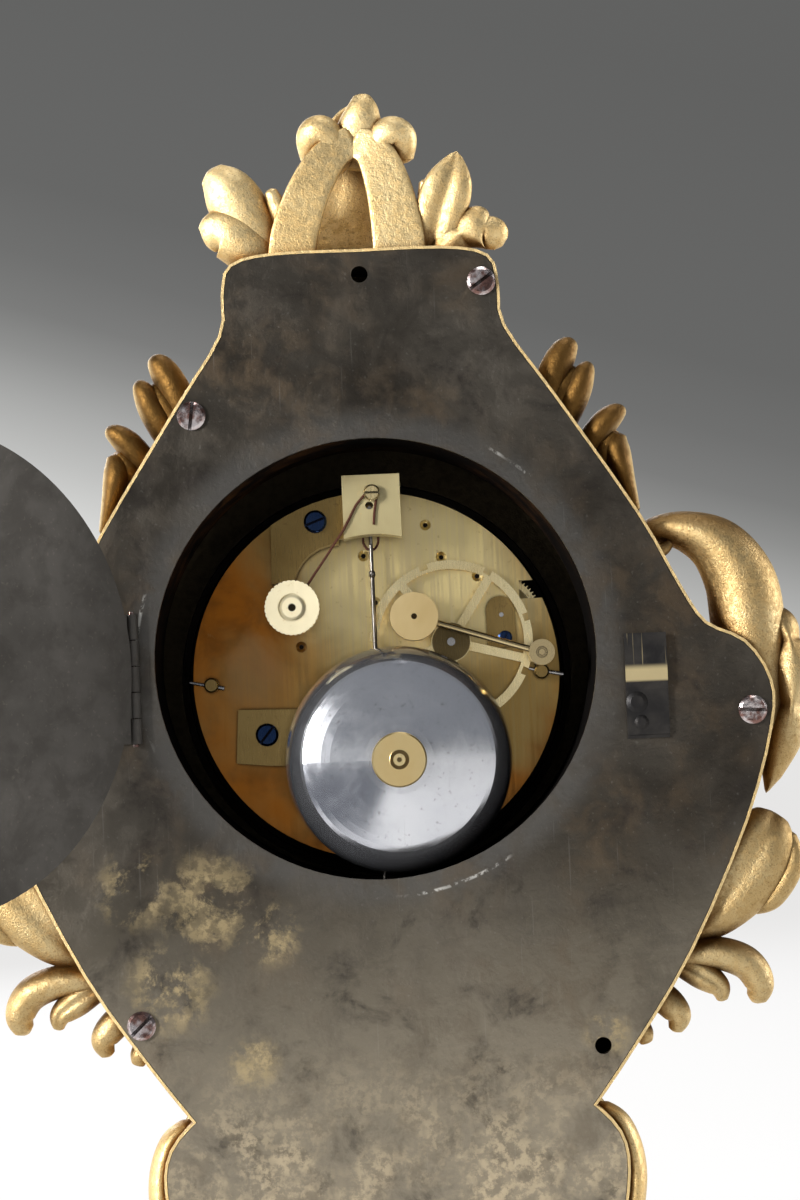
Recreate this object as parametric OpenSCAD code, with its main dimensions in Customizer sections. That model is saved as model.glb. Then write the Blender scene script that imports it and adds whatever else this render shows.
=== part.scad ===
// Cartel clock: gilt case, rear door, round striking movement with silk suspension.
// Origin: centre of the round rear opening, on the rear face of the back panel.
// +Y points out of the back, the dial faces -Y, +Z is up. Millimetres.

/* [Case] */
// Height of the case outline above the opening centre
case_top = 107; // [104:0.5:116]
// Depth of the case outline below the opening centre
case_bottom = 190; // [182:0.5:205]
// Thickness of the back panel
panel_t = 1.5; // [1:0.1:2]
// Gilt rim that shows round the back panel
rim_w = 0.9; // [0.6:0.1:1.5]
// Wall of the cast case
case_wall = 3; // [2.5:0.1:3.5]
// Depth of the straight side of the case
case_side_d = 62; // [58:0.5:66]
// Depth of the rounded front of the case
case_front_d = 16; // [14:0.5:18]
// Slack of the back panel in its rebate
panel_slack = 0.15; // [0.1:0.01:0.2]
// Radius of the panel screw shanks
panel_screw_r = 1.6; // [1.2:0.1:2]
// Radius of the panel screw heads
panel_head_r = 3.75; // [3.2:0.05:4.2]

/* [Rear opening and door] */
// Radius of the round rear opening
opening_r = 57.9; // [56:0.1:59]
// Lap of the rear door on the panel
door_lap = 3.4; // [2.4:0.1:4]
// Thickness of the rear door
door_t = 1.2; // [0.8:0.1:1.6]
// Angle by which the door stands open at rest
door_open = 138; // [100:1:160]
// Radius of the hinge knuckles
knuckle_r = 1.7; // [1.6:0.05:1.9]
// Radius of the hinge pin
hinge_pin_r = 0.8; // [0.6:0.05:1]
// Length of the rear door hinge
hinge_len = 34; // [28:1:40]
// Radial slack of running fits
run_slack = 0.05; // [0.03:0.01:0.08]
// Depth of the dust drum behind the panel
drum_d = 40; // [36:0.5:44]
// Wall of the dust drum
drum_wall = 0.6; // [0.5:0.1:1]

/* [Movement] */
// Radius of the movement plates
plate_r = 50; // [48.5:0.1:51]
// Thickness of the movement plates
plate_t = 2.5; // [2:0.1:3]
// Distance of the back plate's rear face behind the panel
plate_depth = 33; // [31:0.5:35]
// Height of the movement centre over the opening centre
move_z = -3.7; // [-5:0.1:-2]
// Radius of the pillars
pillar_r = 3.4; // [3:0.1:4]
// Thickness of the train wheels
wheel_t = 1.2; // [1:0.1:1.5]
// Radius of the train arbors
arbor_r = 1.1; // [0.9:0.05:1.3]
// Radius of the train pivots
pivot_r = 0.6; // [0.5:0.05:0.8]
// Radius of the barrel arbors
barrel_arbor_r = 2.4; // [2:0.1:2.8]
// Wall of the barrels
barrel_wall = 1; // [0.8:0.1:1.3]

/* [Striking and bell] */
// Radius of the count wheel
count_r = 22.3; // [21.5:0.1:22.8]
// Radius of the bell's mouth
bell_r = 30.6; // [28:0.1:30.8]
// Depth of the bell
bell_h = 17.5; // [15.5:0.5:18.5]
// Wall of the bell
bell_wall = 1.6; // [1.2:0.1:2]
// Radius of the hammer head
hammer_r = 6.5; // [5.5:0.1:7]

/* [Pendulum and suspension] */
// Length from the suspension to the centre of the bob
pendulum_len = 140; // [120:1:142]
// Radius of the pendulum bob
bob_r = 17; // [14:0.5:20]
// Radius of the silk thread
silk_r = 0.35; // [0.25:0.05:0.45]
// Radius of the silk regulating knob
knob_r = 7.4; // [6.5:0.1:8]

/* [Dial and front] */
// Radius of the dial opening in the case
dial_open_r = 56; // [54:0.5:57]
// Thickness of the enamel dial
dial_t = 1.6; // [1.2:0.1:2]
// Distance of the back of the dial in front of the case
dial_proud = 7; // [6.5:0.1:8]
// Distance from the front plate to the back of the dial
dial_gap = 9; // [8.5:0.1:10]
// Width of the glazed bezel round the dial opening
bezel_w = 7; // [6:0.5:8.5]
// Thickness of the glass
glass_t = 1.8; // [1.5:0.1:2.2]
// Length of the minute hand
minute_len = 43; // [38:0.5:45]
// Length of the hour hand
hour_len = 29; // [25:0.5:32]

/* [Ornament] */
// Height of the crown over the case outline
crown_h = 41; // [38:0.5:44]
// Relief depth of the leaves
leaf_d = 22; // [16:0.5:26]
// Outer radius of the side scrolls
scroll_r = 25.5; // [24:0.1:27]

/* [Hidden] */
$fn = 48;
// A little more than nothing, so that cuts pass through faces
eps = 0.01;
// Gap between bodies that move past each other
gap = 0.3;
move_c = [0, move_z];
y_back = -plate_depth;
y_back_in = y_back - plate_t;
// Clear distance between the plates, so that the dial stands in its place in the case
plate_gap = case_side_d + case_front_d + dial_proud - dial_gap - plate_depth - 2 * plate_t;
barrel_len = plate_gap / 2;
bezel_r = dial_open_r + bezel_w;
y_front_in = y_back_in - plate_gap;
y_front = y_front_in - plate_t;
y_dial = y_front - dial_gap;
y_case_front = -case_side_d - case_front_d;

// Train pivots, seen from behind with +X to the left, relative to the movement centre
going_barrel_p = [22, -14];
inter_p = [20.2, 8.5];
centre_p = [0, 0];
third_p = [-0.6, 19.8];
escape_p = [2.2, 32.7];
pallet_p = [0, 45];
strike_barrel_p = [-22, -14];
second_p = [-20.7, 8.1];
pin_p = [-34.8, 15];
locking_p = [-28.7, 25.9];
warning_p = [-19.1, 31.5];
fly_p = [-15.1, 40.5];
minute_wheel_p = [-9.5, 7];
hammer_p = [-44.8, 4];
knob_p = [21.9, 18.7];
bell_p = [-5.1, -23.2];

// Tooth counts of wheels and pinions
barrel_n = 84;
inter_pinion_n = 12;
inter_n = 72;
centre_pinion_n = 12;
centre_n = 84;
third_pinion_n = 8;
third_n = 80;
escape_pinion_n = 8;
escape_n = 40;
second_pinion_n = 12;
second_n = 90;
pin_pinion_n = 8;
pin_n = 64;
locking_pinion_n = 8;
locking_n = 48;
warning_pinion_n = 8;
warning_n = 40;
fly_pinion_n = 8;
cannon_n = 12;
minute_n = 36;
minute_pinion_n = 10;
hour_n = 40;

// Depths of the wheel planes, measured at each wheel's rear face
y_plane_escape = y_back_in - plate_gap * 3 / 38;
y_plane_c = y_back_in - plate_gap * 6 / 38;
y_plane_b = y_back_in - plate_gap * 10 / 38;
y_plane_a = y_back_in - plate_gap * 14.5 / 38;
y_plane_lock = y_back_in - plate_gap * 18.5 / 38;
y_plane_d = y_back_in - plate_gap * 24.5 / 38;
y_plane_warn = y_back_in - plate_gap * 28.5 / 38;
pinion_len = wheel_t + 1.6;

// Smooth curve through the given points, n steps between two of them
function spline_at(a, b, c, d, t) = 0.5 * (2 * b + (c - a) * t + (2 * a - 5 * b + 4 * c - d) * t * t
    + (3 * b - a - 3 * c + d) * t * t * t);
function smooth(p, n) = let (m = len(p) - 1)
    [for (i = [0:m - 1], k = [0:n - 1])
        spline_at(p[max(i - 1, 0)], p[i], p[i + 1], p[min(i + 2, m)], k / n)];
// Right half and its mirror image as one closed outline
function mirrored(p) = concat(p, [for (i = [len(p) - 1:-1:0]) if (p[i].x > eps) [-p[i].x, p[i].y]]);
// Outline moved outwards by d along its normals, for an outline that runs clockwise
function grow(p, d) = let (m = len(p))
    [for (i = [0:m - 1])
        let (t = p[(i + 1) % m] - p[(i + m - 1) % m])
        p[i] + d * [-t.y, t.x] / norm(t)];
function polar(r, a) = r * [cos(a), sin(a)];
function rel(p) = move_c + p;

// Half outlines of the cartouche: shoulders to the waist, and the lower lobe
upper_half = [[0, case_top], [22, case_top], [33.5, case_top - 2.5], [35.8, case_top - 10], [37, 86],
    [49.5, 67], [70, 35], [80, 15.5], [86.5, 5.3], [96.5, 0], [102.6, -10], [102.2, -22],
    [94.5, -46.5], [78.5, -79.5], [63, -103], [51.5, -118.5]];
waist_z = -118.5;
lobe_h = case_bottom + waist_z;
lower_half = [for (p = [[51.5, 0], [58, 0.105], [59.6, 0.245], [56, 0.4825], [44, 0.748], [24, 0.931],
    [0, 1]])
    [p.x, waist_z - p.y * lobe_h]];
half_outline = concat(smooth(upper_half, 3), smooth(lower_half, 3), [[0, -case_bottom]]);
panel_outline = mirrored(half_outline);
rim_outline = grow(panel_outline, rim_w);

// Lugs inside the casting that the panel screws go into
lug_r = 5;
lug_len = 9;
// Panel screws: shoulder, cheek and lobe pairs, as seen from behind; the lobe's lugs bite into its wall
lobe_screw_share = 0.83238;
lug_bite = 0.8882;
lobe_run = lower_half[4] - lower_half[3];
lobe_screw_p = lower_half[3] + lobe_screw_share * lobe_run
    + (case_wall + lug_r - lug_bite) * [lobe_run.y, -lobe_run.x] / norm(lobe_run);
panel_screw_pts = [[-32, case_top - 9], [45.7, 65.5], [98, -17.7], [-98, -17.7], [64.8, -93],
    lobe_screw_p, [-lobe_screw_p.x, lobe_screw_p.y]];
// Empty screw holes that are left in the panel
spare_hole_pts = [[0, case_top - 5.8], [-54.9, -103.3]];
spare_hole_r = 2.2;

// Flat shape in the XZ plane with its rear face at y_rear, t thick towards the front
module slab(y_rear, t) {
    translate([0, y_rear, 0]) rotate([90, 0, 0]) linear_extrude(t) children();
}
// Round rod along Y at p, with its rear end at y_rear
module rod(p, y_rear, length, r, r_front = undef) {
    translate([p.x, y_rear, p.y]) rotate([90, 0, 0])
        cylinder(h = length, r1 = r, r2 = is_undef(r_front) ? r : r_front);
}
module both_sides() {
    children();
    mirror([1, 0, 0]) children();
}

// Cast case: rings of the rounded front as [scale of the outline, share of the front depth]
front_draw = 0.14;
front_rings = [for (a = [0:22.5:90]) [1 - front_draw * (1 - cos(a)), sin(a)]];
case_mid_z = -42;
wall_share = 0.045;
// Rounded front made of tapered rings, each scaled about the middle of the case
module rounded_front(y_shift, shrink) {
    for (i = [1:len(front_rings) - 1]) {
        a = front_rings[i - 1];
        b = front_rings[i];
        translate([0, y_shift - case_side_d - case_front_d * a[1] + eps, case_mid_z]) rotate([90, 0, 0])
            linear_extrude(case_front_d * (b[1] - a[1]) + eps, scale = (b[0] - shrink) / (a[0] - shrink))
                scale(a[0] - shrink) translate([0, -case_mid_z]) polygon(rim_outline);
    }
}
module case_shell() {
    color("goldenrod") difference() {
        union() {
            slab(0, case_side_d + eps) polygon(rim_outline);
            rounded_front(0, 0);
        }
        difference() {
            slab(eps, case_side_d - case_wall) polygon(grow(panel_outline, -case_wall));
            for (p = panel_screw_pts) rod(p, -panel_t, lug_len, lug_r);
        }
        rounded_front(case_wall, wall_share);
        slab(eps, panel_t + eps) polygon(grow(panel_outline, panel_slack));
        for (p = panel_screw_pts) rod(p, eps, panel_t + lug_len - 2, panel_screw_r + run_slack);
        rod(move_c, -case_side_d, case_front_d + 1, dial_open_r);
    }
}

module back_panel() {
    color("dimgray") difference() {
        slab(0, panel_t) polygon(panel_outline);
        rod([0, 0], 1, panel_t + 2, opening_r);
        for (p = panel_screw_pts) rod(p, 1, panel_t + 2, panel_screw_r + 0.3);
        for (p = spare_hole_pts) rod(p, 1, panel_t + 2, spare_hole_r);
    }
}

// Slotted screw along Y: dished head on the face at y_face, shank towards the front
module slotted_screw(p, y_face, head_r, head_h, shank_r, shank_len, slot_w, slot_a) {
    translate([p.x, y_face, p.y]) rotate([-90, 0, 0]) difference() {
        union() {
            cylinder(h = head_h * 0.6, r = head_r);
            translate([0, 0, head_h * 0.6 - eps]) cylinder(h = head_h * 0.4 + eps, r1 = head_r,
                r2 = head_r * 0.8);
            translate([0, 0, -shank_len]) cylinder(h = shank_len + eps, r = shank_r);
        }
        rotate([0, 0, slot_a]) translate([-head_r - 1, -slot_w / 2, head_h * 0.45])
            cube([2 * head_r + 2, slot_w, head_h]);
    }
}
module panel_screws() {
    color("slategray") for (i = [0:len(panel_screw_pts) - 1])
        slotted_screw(panel_screw_pts[i], 0, panel_head_r, 1.4, panel_screw_r, panel_t + lug_len - 3, 0.9,
            35 + 47 * i);
}

// Sheet-metal drum that keeps dust out; its flange sits under the panel
drum_r = opening_r + 1.4;
drum_flange = 5;
drum_slot_w = 18;
drum_slot_d = 14;
module dust_drum() {
    color("saddlebrown") difference() {
        union() {
            rod([0, 0], -panel_t, drum_wall, drum_r + drum_flange);
            rod([0, 0], -panel_t, drum_d, drum_r);
        }
        rod([0, 0], 1, panel_t + drum_d + 2, drum_r - drum_wall);
        translate([-drum_slot_w / 2, y_pendulum - drum_slot_d / 2, -drum_r - 5])
            cube([drum_slot_w, drum_slot_d, 20]);
    }
}

// Rear door hinge: the axis stands beside the door's rim, just off the panel
hinge_x = opening_r + door_lap + knuckle_r + gap;
hinge_y = knuckle_r + gap;
hinge_z = -3;
door_y = 0.1;
door_r = opening_r + door_lap;
leaf_t = 0.8;
leaf_w = 9;
door_rivet_x = hinge_x - knuckle_r - 5.2;
door_rivet_zs = [-7, 7];
rivet_r = 0.9;
knuckle_n = 5;
knuckle_len = hinge_len / knuckle_n;
// Turns what is drawn on the shut door to where it stands open
module opened() {
    translate([hinge_x, hinge_y, 0]) rotate([0, 0, -door_open]) translate([-hinge_x, -hinge_y, 0])
        children();
}
module knuckles(first) {
    for (i = [first:2:knuckle_n - 1])
        translate([hinge_x, hinge_y, hinge_z - hinge_len / 2 + i * knuckle_len + 0.15])
            cylinder(h = knuckle_len - gap, r = knuckle_r);
}
module pin_bore(slack) {
    translate([hinge_x, hinge_y, hinge_z - hinge_len]) cylinder(h = 2 * hinge_len,
        r = hinge_pin_r + slack);
}
module case_hinge_leaf() {
    color("peru") difference() {
        union() {
            knuckles(0);
            for (i = [0:2:knuckle_n - 1])
                translate([hinge_x, 0, hinge_z - hinge_len / 2 + i * knuckle_len + 0.15])
                    cube([leaf_w, leaf_t, knuckle_len - gap]);
            translate([hinge_x + knuckle_r + gap, 0, hinge_z - hinge_len / 2 + 0.15])
                cube([leaf_w - knuckle_r - gap, leaf_t, hinge_len - gap]);
        }
        pin_bore(0);
    }
}
module door_hinge_pin() {
    color("silver") translate([hinge_x, hinge_y, hinge_z - hinge_len / 2 - 0.6])
        cylinder(h = hinge_len + 1.2, r = hinge_pin_r);
}
module door_hinge_leaf() {
    color("peru") opened() difference() {
        union() {
            knuckles(1);
            for (i = [1:2:knuckle_n - 1])
                translate([hinge_x - leaf_w, door_y + door_t, hinge_z - hinge_len / 2 + i * knuckle_len
                    + 0.15])
                    cube([leaf_w, leaf_t, knuckle_len - gap]);
            translate([hinge_x - leaf_w, door_y + door_t, hinge_z - hinge_len / 2 + 0.15])
                cube([leaf_w - knuckle_r - gap, leaf_t, hinge_len - gap]);
        }
        pin_bore(run_slack);
        for (z = door_rivet_zs) rod([door_rivet_x, z], 9, 12, rivet_r);
    }
}
// The tongue slides under the catch when the door is shut
tongue_w = 6;
tongue_reach = 7;
tongue_z = -3;
module rear_door() {
    color("rosybrown") opened() difference() {
        union() {
            rod([0, 0], door_y + door_t, door_t, door_r);
            translate([-door_r - tongue_reach, door_y, tongue_z - tongue_w / 2])
                cube([tongue_reach + 2, door_t, tongue_w]);
        }
        for (z = door_rivet_zs) rod([door_rivet_x, z], 9, 12, rivet_r);
    }
}
module rivet(p, y_front_face, grip, head_r) {
    rod(p, y_front_face + grip, grip, rivet_r);
    translate([p.x, y_front_face + grip, p.y]) rotate([-90, 0, 0]) cylinder(h = 0.6, r1 = head_r,
        r2 = head_r * 0.6);
}
module door_rivets() {
    color("peru") opened() for (z = door_rivet_zs) {
        rivet([door_rivet_x, z], door_y, door_t + leaf_t, 2);
        rod([door_rivet_x, z], door_y, 0.05, rivet_r);
    }
}

// Spring catch opposite the hinge: it swings aside on its lower rivet
catch_x = -70.5;
catch_w = 11;
catch_pivot = [catch_x + 1.8, -19.7];
catch_rivet = [catch_x + 2.8, -14.5];
catch_base_t = 0.8;
catch_t = 0.6;
catch_lift = door_y + door_t + gap;
module catch_base() {
    color("dimgray") difference() {
        translate([catch_x - catch_w / 2, 0, -24]) cube([catch_w, catch_base_t, 14]);
        rod(catch_pivot, 9, 12, rivet_r);
        rod(catch_rivet, 9, 12, rivet_r);
    }
}
module catch_spring() {
    low = catch_base_t + 0.05;
    high = max(catch_lift, low) + 0.2;
    color("gray") difference() {
        translate([catch_x - catch_w / 2, 0, 0]) rotate([90, 0, 90]) linear_extrude(catch_w)
            polygon([[low, -23], [low, -10.8], [high, -9], [high, 3.5], [high + catch_t, 3.5],
                [high + catch_t, -9.4], [low + catch_t, -11.2], [low + catch_t, -23]]);
        rod(catch_pivot, 9, 12, rivet_r + run_slack);
        rod(catch_rivet, 9, 12, rivet_r + 1.4);
    }
}
module catch_rivets() {
    color("gray") for (p = [catch_pivot, catch_rivet])
        rivet(p, 0, catch_base_t + 0.05 + catch_t + 0.1, p == catch_pivot ? 1.8 : 2.8);
}

// Cast leaf with a rounded back: outline points in the XZ plane, axis of the rounding through c at angle
// a
module leaf(pts, y_rear, depth, c, a, round_r) {
    intersection() {
        slab(y_rear, depth) polygon(smooth(concat(pts, [pts[0]]), 2));
        translate([c.x, y_rear - round_r, c.y]) rotate([0, 90 - a, 0]) cylinder(h = 200, r = round_r,
            center = true);
    }
}
// Horn of a scroll: a crescent between two circles in the XZ plane, with a domed back
module horn(c, r, c_in, r_in, y_rear, depth, dome_r) {
    intersection() {
        difference() {
            rod(c, y_rear, depth, r);
            rod(c_in, y_rear + 1, depth + 2, r_in);
        }
        translate([c.x, y_rear - dome_r, c.y]) sphere(dome_r);
    }
}
module clear_of_case() {
    difference() {
        children();
        slab(1, case_side_d) polygon(rim_outline);
    }
}

// Crown with two straps that meet in the hanging arch
arch_w = 14;
arch_h = 28;
strap_w = 8;
crown_y = -3;
crown_half = [[0, crown_h], [4, crown_h - 2], [7, crown_h - 8], [13, crown_h - 11], [17, 21], [24, 26],
    [31, 24], [27, 18], [33.5, 14], [30, 8], [37, 1.5], [30, -6], [0, -6]];
module crown() {
    color("goldenrod") clear_of_case() difference() {
        union() {
            translate([0, 0, case_top]) slab(crown_y - 2, leaf_d - 2)
                polygon(mirrored(smooth(concat(crown_half, [[0, -6]]), 2)));
            both_sides() translate([0, 0, case_top]) slab(crown_y, 3)
                polygon([[arch_w / 2, -2], [arch_w / 2 + strap_w, -2], [5.5, crown_h - 9],
                    [0, crown_h - 6], [0, arch_h - 2]]);
            both_sides() translate([18, crown_y - 6, case_top + 20]) sphere(4);
        }
        translate([-arch_w / 2, -40, case_top - 10]) cube([arch_w, 60, arch_h + 10 - arch_w / 2]);
        rod([0, case_top + arch_h - arch_w / 2], 20, 60, arch_w / 2);
    }
}
shoulder_pts = [[42, 72], [46, 80], [54.3, 82.5], [55, 77], [60.5, 74.5], [61, 68], [68.6, 62.5],
    [66, 56],
    [70, 47], [72, 36], [66, 36], [56, 50]];
module shoulder_leaves() {
    color("gold") clear_of_case() both_sides()
        leaf(shoulder_pts, -1.5, leaf_d, [60, 60], -58, 18);
}
module side_scrolls() {
    color("gold") clear_of_case() both_sides() {
        horn([84, 9], scroll_r, [75, 11.5], scroll_r * 0.57, -1.5, leaf_d + 4, scroll_r * 1.2);
        leaf([[98, 8], [108, 10], [111, 0], [113, -10], [110, -16], [111, -25], [106, -29], [104, -37],
            [98, -42], [94, -20]],
            -1.5, leaf_d, [107, -14], 85, 16);
    }
}
module lower_leaves() {
    color("gold") clear_of_case() both_sides()
        leaf([[90, -50], [97, -47], [103.8, -44], [104.5, -51], [109, -57], [104.5, -61], [103, -69],
            [96, -69],
            [89, -73.5], [80, -75], [76, -72]], -1.5, leaf_d, [96, -62], 60, 18);
}
module lower_scrolls() {
    color("gold") clear_of_case() both_sides() {
        horn([86.5, -91.5], scroll_r * 0.53, [83, -97], scroll_r * 0.47, -1.5, leaf_d - 4,
            scroll_r * 0.64);
        leaf([[72, -82], [82, -84], [83, -90], [79, -97], [74, -96], [68, -102], [62, -104], [60, -96]],
            -1.5, leaf_d, [73, -92], 50, 14);
    }
}
module base_leaf() {
    z0 = -case_bottom;
    color("gold") clear_of_case() {
        both_sides() leaf([[48, z0 + 32], [56, z0 + 26], [60, z0 + 14], [52, z0 + 12], [48, z0 + 2],
            [40, z0 + 2],
            [34, z0 - 8], [26, z0 - 4], [24, z0 + 14]], -2, leaf_d, [44, z0 + 14], 45, 20);
        leaf(mirrored([[0, z0 + 6], [14, z0 + 4], [20, z0 - 6], [13, z0 - 10], [14, z0 - 18],
            [7, z0 - 22], [0, z0 - 34]]),
            -2, leaf_d + 4, [0, z0 - 10], 90, 22);
    }
}

// Movement frame: two plates on four pillars, pinned at the back
pillar_pts = [[45, -1], [-45, -1], [12, -43.5], [-12, -43.5]];
tenon_r = 2;
tenon_out = 3.6;
pin_r = 0.6;
pin_a = 12;
pin_len = 9.5;
// The pins stand further out than in
pin_shift = 1.25;
pin_y = y_back + 1.9;
pivot_hole_r = pivot_r + run_slack;
// Oil sink round a pivot hole
sink_r = 1.5;
sink_d = 0.8;
// Pivots that run in both plates, and those that run in the front plate and in a cock
plate_pivots = [inter_p, third_p, escape_p, locking_p, warning_p, fly_p];
cock_pivots = [pin_p];
pallet_hole_r = 4;
dog_p = [-42.5, 21.7];
dog_notch = 5;
module plate_disc(y_rear) {
    rod(move_c, y_rear, plate_t, plate_r);
}
module plate_holes(y_rear) {
    for (p = plate_pivots) rod(rel(p), y_rear + 1, plate_t + 2, pivot_hole_r);
    for (p = pillar_pts) rod(rel(p), y_rear + 1, plate_t + 2, tenon_r);
    for (p = [going_barrel_p, strike_barrel_p]) rod(rel(p), y_rear + 1, plate_t + 2,
        barrel_arbor_r + run_slack);
}
module back_plate() {
    color("goldenrod") difference() {
        plate_disc(y_back);
        plate_holes(y_back);
        for (p = [second_p, hammer_p, knob_p]) rod(rel(p), y_back + 1, plate_t + 2, arbor_r + run_slack);
        rod(rel(centre_p), y_back + 1, plate_t + 2, pivot_hole_r);
        rod(rel(pin_p), y_back + 1, plate_t + 2, pivot_r + 0.5);
        rod(rel(pallet_p), y_back + 1, plate_t + 2, pallet_hole_r);
        for (p = concat(plate_pivots, [centre_p])) rod(rel(p), y_back + eps, sink_d, sink_r,
            pivot_hole_r);
        translate([rel(dog_p).x - 12, y_back - plate_t - 1, rel(dog_p).y - dog_notch / 2])
            cube([12 + dog_notch / 2, plate_t + 2, dog_notch]);
        for (s = cock_screw_pts) rod(rel(s), y_back + 1, plate_t + 2, cock_screw_r);
    }
}
module front_plate() {
    color("darkgoldenrod") minute_stud();
    color("darkgoldenrod") difference() {
        plate_disc(y_front_in);
        plate_holes(y_front_in);
        for (p = cock_pivots) rod(rel(p), y_front_in + 1, plate_t + 2, pivot_hole_r);
        rod(rel(pallet_p), y_front_in + 1, plate_t + 2, pivot_hole_r);
        rod(rel(second_p), y_front_in + 1, plate_t + 2, pivot_hole_r);
        rod(rel(hammer_p), y_front_in + 1, plate_t + 2, pivot_hole_r);
        rod(rel(centre_p), y_front_in + 1, plate_t + 2, arbor_r + run_slack);
        for (p = dial_foot_pts) rod(rel(p), y_front_in + 1, plate_t + 2, dial_foot_r);
    }
}
module pillars() {
    half = plate_gap / 2;
    color("goldenrod") for (p = pillar_pts) difference() {
        translate([rel(p).x, y_back + tenon_out, rel(p).y]) rotate([90, 0, 0]) rotate_extrude()
            polygon([[0, 0], [tenon_r - 0.4, 0], [tenon_r, 0.4], [tenon_r, tenon_out + plate_t],
                [pillar_r, tenon_out + plate_t], [pillar_r, tenon_out + plate_t + 3],
                [pillar_r * 0.72, tenon_out + plate_t + 5], [pillar_r * 0.85, tenon_out + plate_t + half],
                [pillar_r * 0.72, tenon_out + plate_t + plate_gap - 5],
                    [pillar_r, tenon_out + plate_t + plate_gap - 3],
                [pillar_r, tenon_out + plate_t + plate_gap], [tenon_r, tenon_out + plate_t + plate_gap],
                [tenon_r, tenon_out + 2 * plate_t + plate_gap],
                    [0, tenon_out + 2 * plate_t + plate_gap]]);
        taper_pin(p, 0.05);
    }
}
module taper_pin(p, extra) {
    translate([rel(p).x + sign(p.x) * pin_shift, pin_y, rel(p).y]) rotate([0, -pin_a, 0])
        rotate([0, 90, 0])
        cylinder(h = pin_len, r1 = pin_r + extra, r2 = pin_r * 0.7 + extra, center = true);
}
module pillar_pins() {
    color("lightsteelblue") for (p = pillar_pts) taper_pin(p, 0);
}

// Cocks and screws on the back plate
cock_screw_r = 1.2;
cock_head_r = 3.1;
pallet_screw_p = [14.8, 41.9];
strike_screw_p = [-35.6, 8.7];
bell_screw_p = [30.4, -15.1];
cock_screw_pts = [pallet_screw_p, strike_screw_p, bell_screw_p];
arm_lift = 6;
arm_t = 3;
y_arm = y_back + arm_lift + arm_t;
strike_cock_t = 0.9;
bracket_t = 2.4;
module pallet_cock() {
    foot = concat([[27.3, 25.5]], [for (a = [57:5:82]) polar(plate_r - 0.6, a)],
        [for (a = [92:-13:14]) [9.2, 23.4] + polar(12.3, a)]);
    color("goldenrod") difference() {
        union() {
            slab_at_centre(y_arm, arm_lift + arm_t, foot);
            slab_at_centre(y_arm, arm_t, [[10.5, 36.8], [12, 47.4], [6, 49], [-7, 49], [-8, 47], [-8, 40],
                [-5, 38]]);
        }
        rod(rel(pallet_p), 0, 60, pivot_hole_r);
        rod(rel(pallet_screw_p), 0, 60, cock_screw_r);
        rod(rel(suspension_screw_p), 0, 60, suspension_screw_r);
    }
}
module slab_at_centre(y_rear, t, pts) {
    translate([0, 0, move_z]) slab(y_rear, t) polygon(pts);
}
module strike_cock() {
    color("gold") difference() {
        slab_at_centre(y_back + strike_cock_t, strike_cock_t,
            concat([[-30.9, 5.7]], [for (a = [0:15:180]) [-34.5, 16.2] + polar(3.9, a)], [[-38.6, 6.4]]));
        rod(rel(pin_p), 0, 60, pivot_hole_r);
        rod(rel(strike_screw_p), 0, 60, cock_screw_r);
    }
}
module movement_screws() {
    color("goldenrod") slotted_screw(rel(suspension_screw_p), y_block + silk_lift, 2.2, 1.3,
        suspension_screw_r,
        silk_lift + block_d + arm_t, 0.6, 0);
    color("midnightblue") {
        slotted_screw(rel(pallet_screw_p), y_arm, cock_head_r, 1.6, cock_screw_r,
            arm_lift + arm_t + plate_t, 0.7, 20);
        slotted_screw(rel(strike_screw_p), y_back + strike_cock_t, 1.9, 0.5, cock_screw_r,
            strike_cock_t + plate_t, 0.5, 70);
        slotted_screw(rel(bell_screw_p), y_back + bracket_t, cock_head_r, 1.6, cock_screw_r,
            bracket_t + plate_t, 0.7, 50);
    }
}

// Silk suspension: block on the cock, thread over it and down to the knob
block_w = 15.5;
block_h = 17;
block_d = 9;
block_cut = 1;
block_cut_r = 30;
block_p = [-0.6, 44.8];
suspension_screw_p = [-0.8, 48.3];
suspension_screw_r = 1;
y_block = y_arm + block_d;
module suspension_block() {
    color("khaki") difference() {
        translate([rel(block_p).x - block_w / 2, y_arm, rel(block_p).y - block_h / 2])
            cube([block_w, block_d, block_h]);
        rod(rel(block_p) - [0, block_h / 2 - block_cut + block_cut_r], 0, 60, block_cut_r);
        rod(rel(pallet_p), 0, 60, pivot_hole_r + 0.4);
        rod(rel(suspension_screw_p), 0, 60, suspension_screw_r);
    }
}
// Tube of 8 sides swept along points
function tube_ring(p, q, r) = let (t = (q - p) / norm(q - p), u0 = cross(t, [0, 0.31, 0.95]),
    u = u0 / norm(u0), v = cross(t, u))
    [for (k = [0:7]) r * cos(45 * k) * u + r * sin(45 * k) * v];
module tube(path, r) {
    m = len(path);
    rings = [for (i = [0:m - 1]) let (off = tube_ring(path[max(i - 1, 0)], path[min(i + 1, m - 1)], r))
        for (o = off) path[i] + o];
    sides = [for (i = [0:m - 2], k = [0:7])
        let (a = 8 * i + k, b = 8 * i + (k + 1) % 8) each [[a, b, b + 8], [a, b + 8, a + 8]]];
    caps = [for (k = [1:6]) each [[0, k + 1, k], [8 * m - 8, 8 * m - 8 + k, 8 * m - 7 + k]]];
    polyhedron(points = rings, faces = concat(sides, caps));
}
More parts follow.
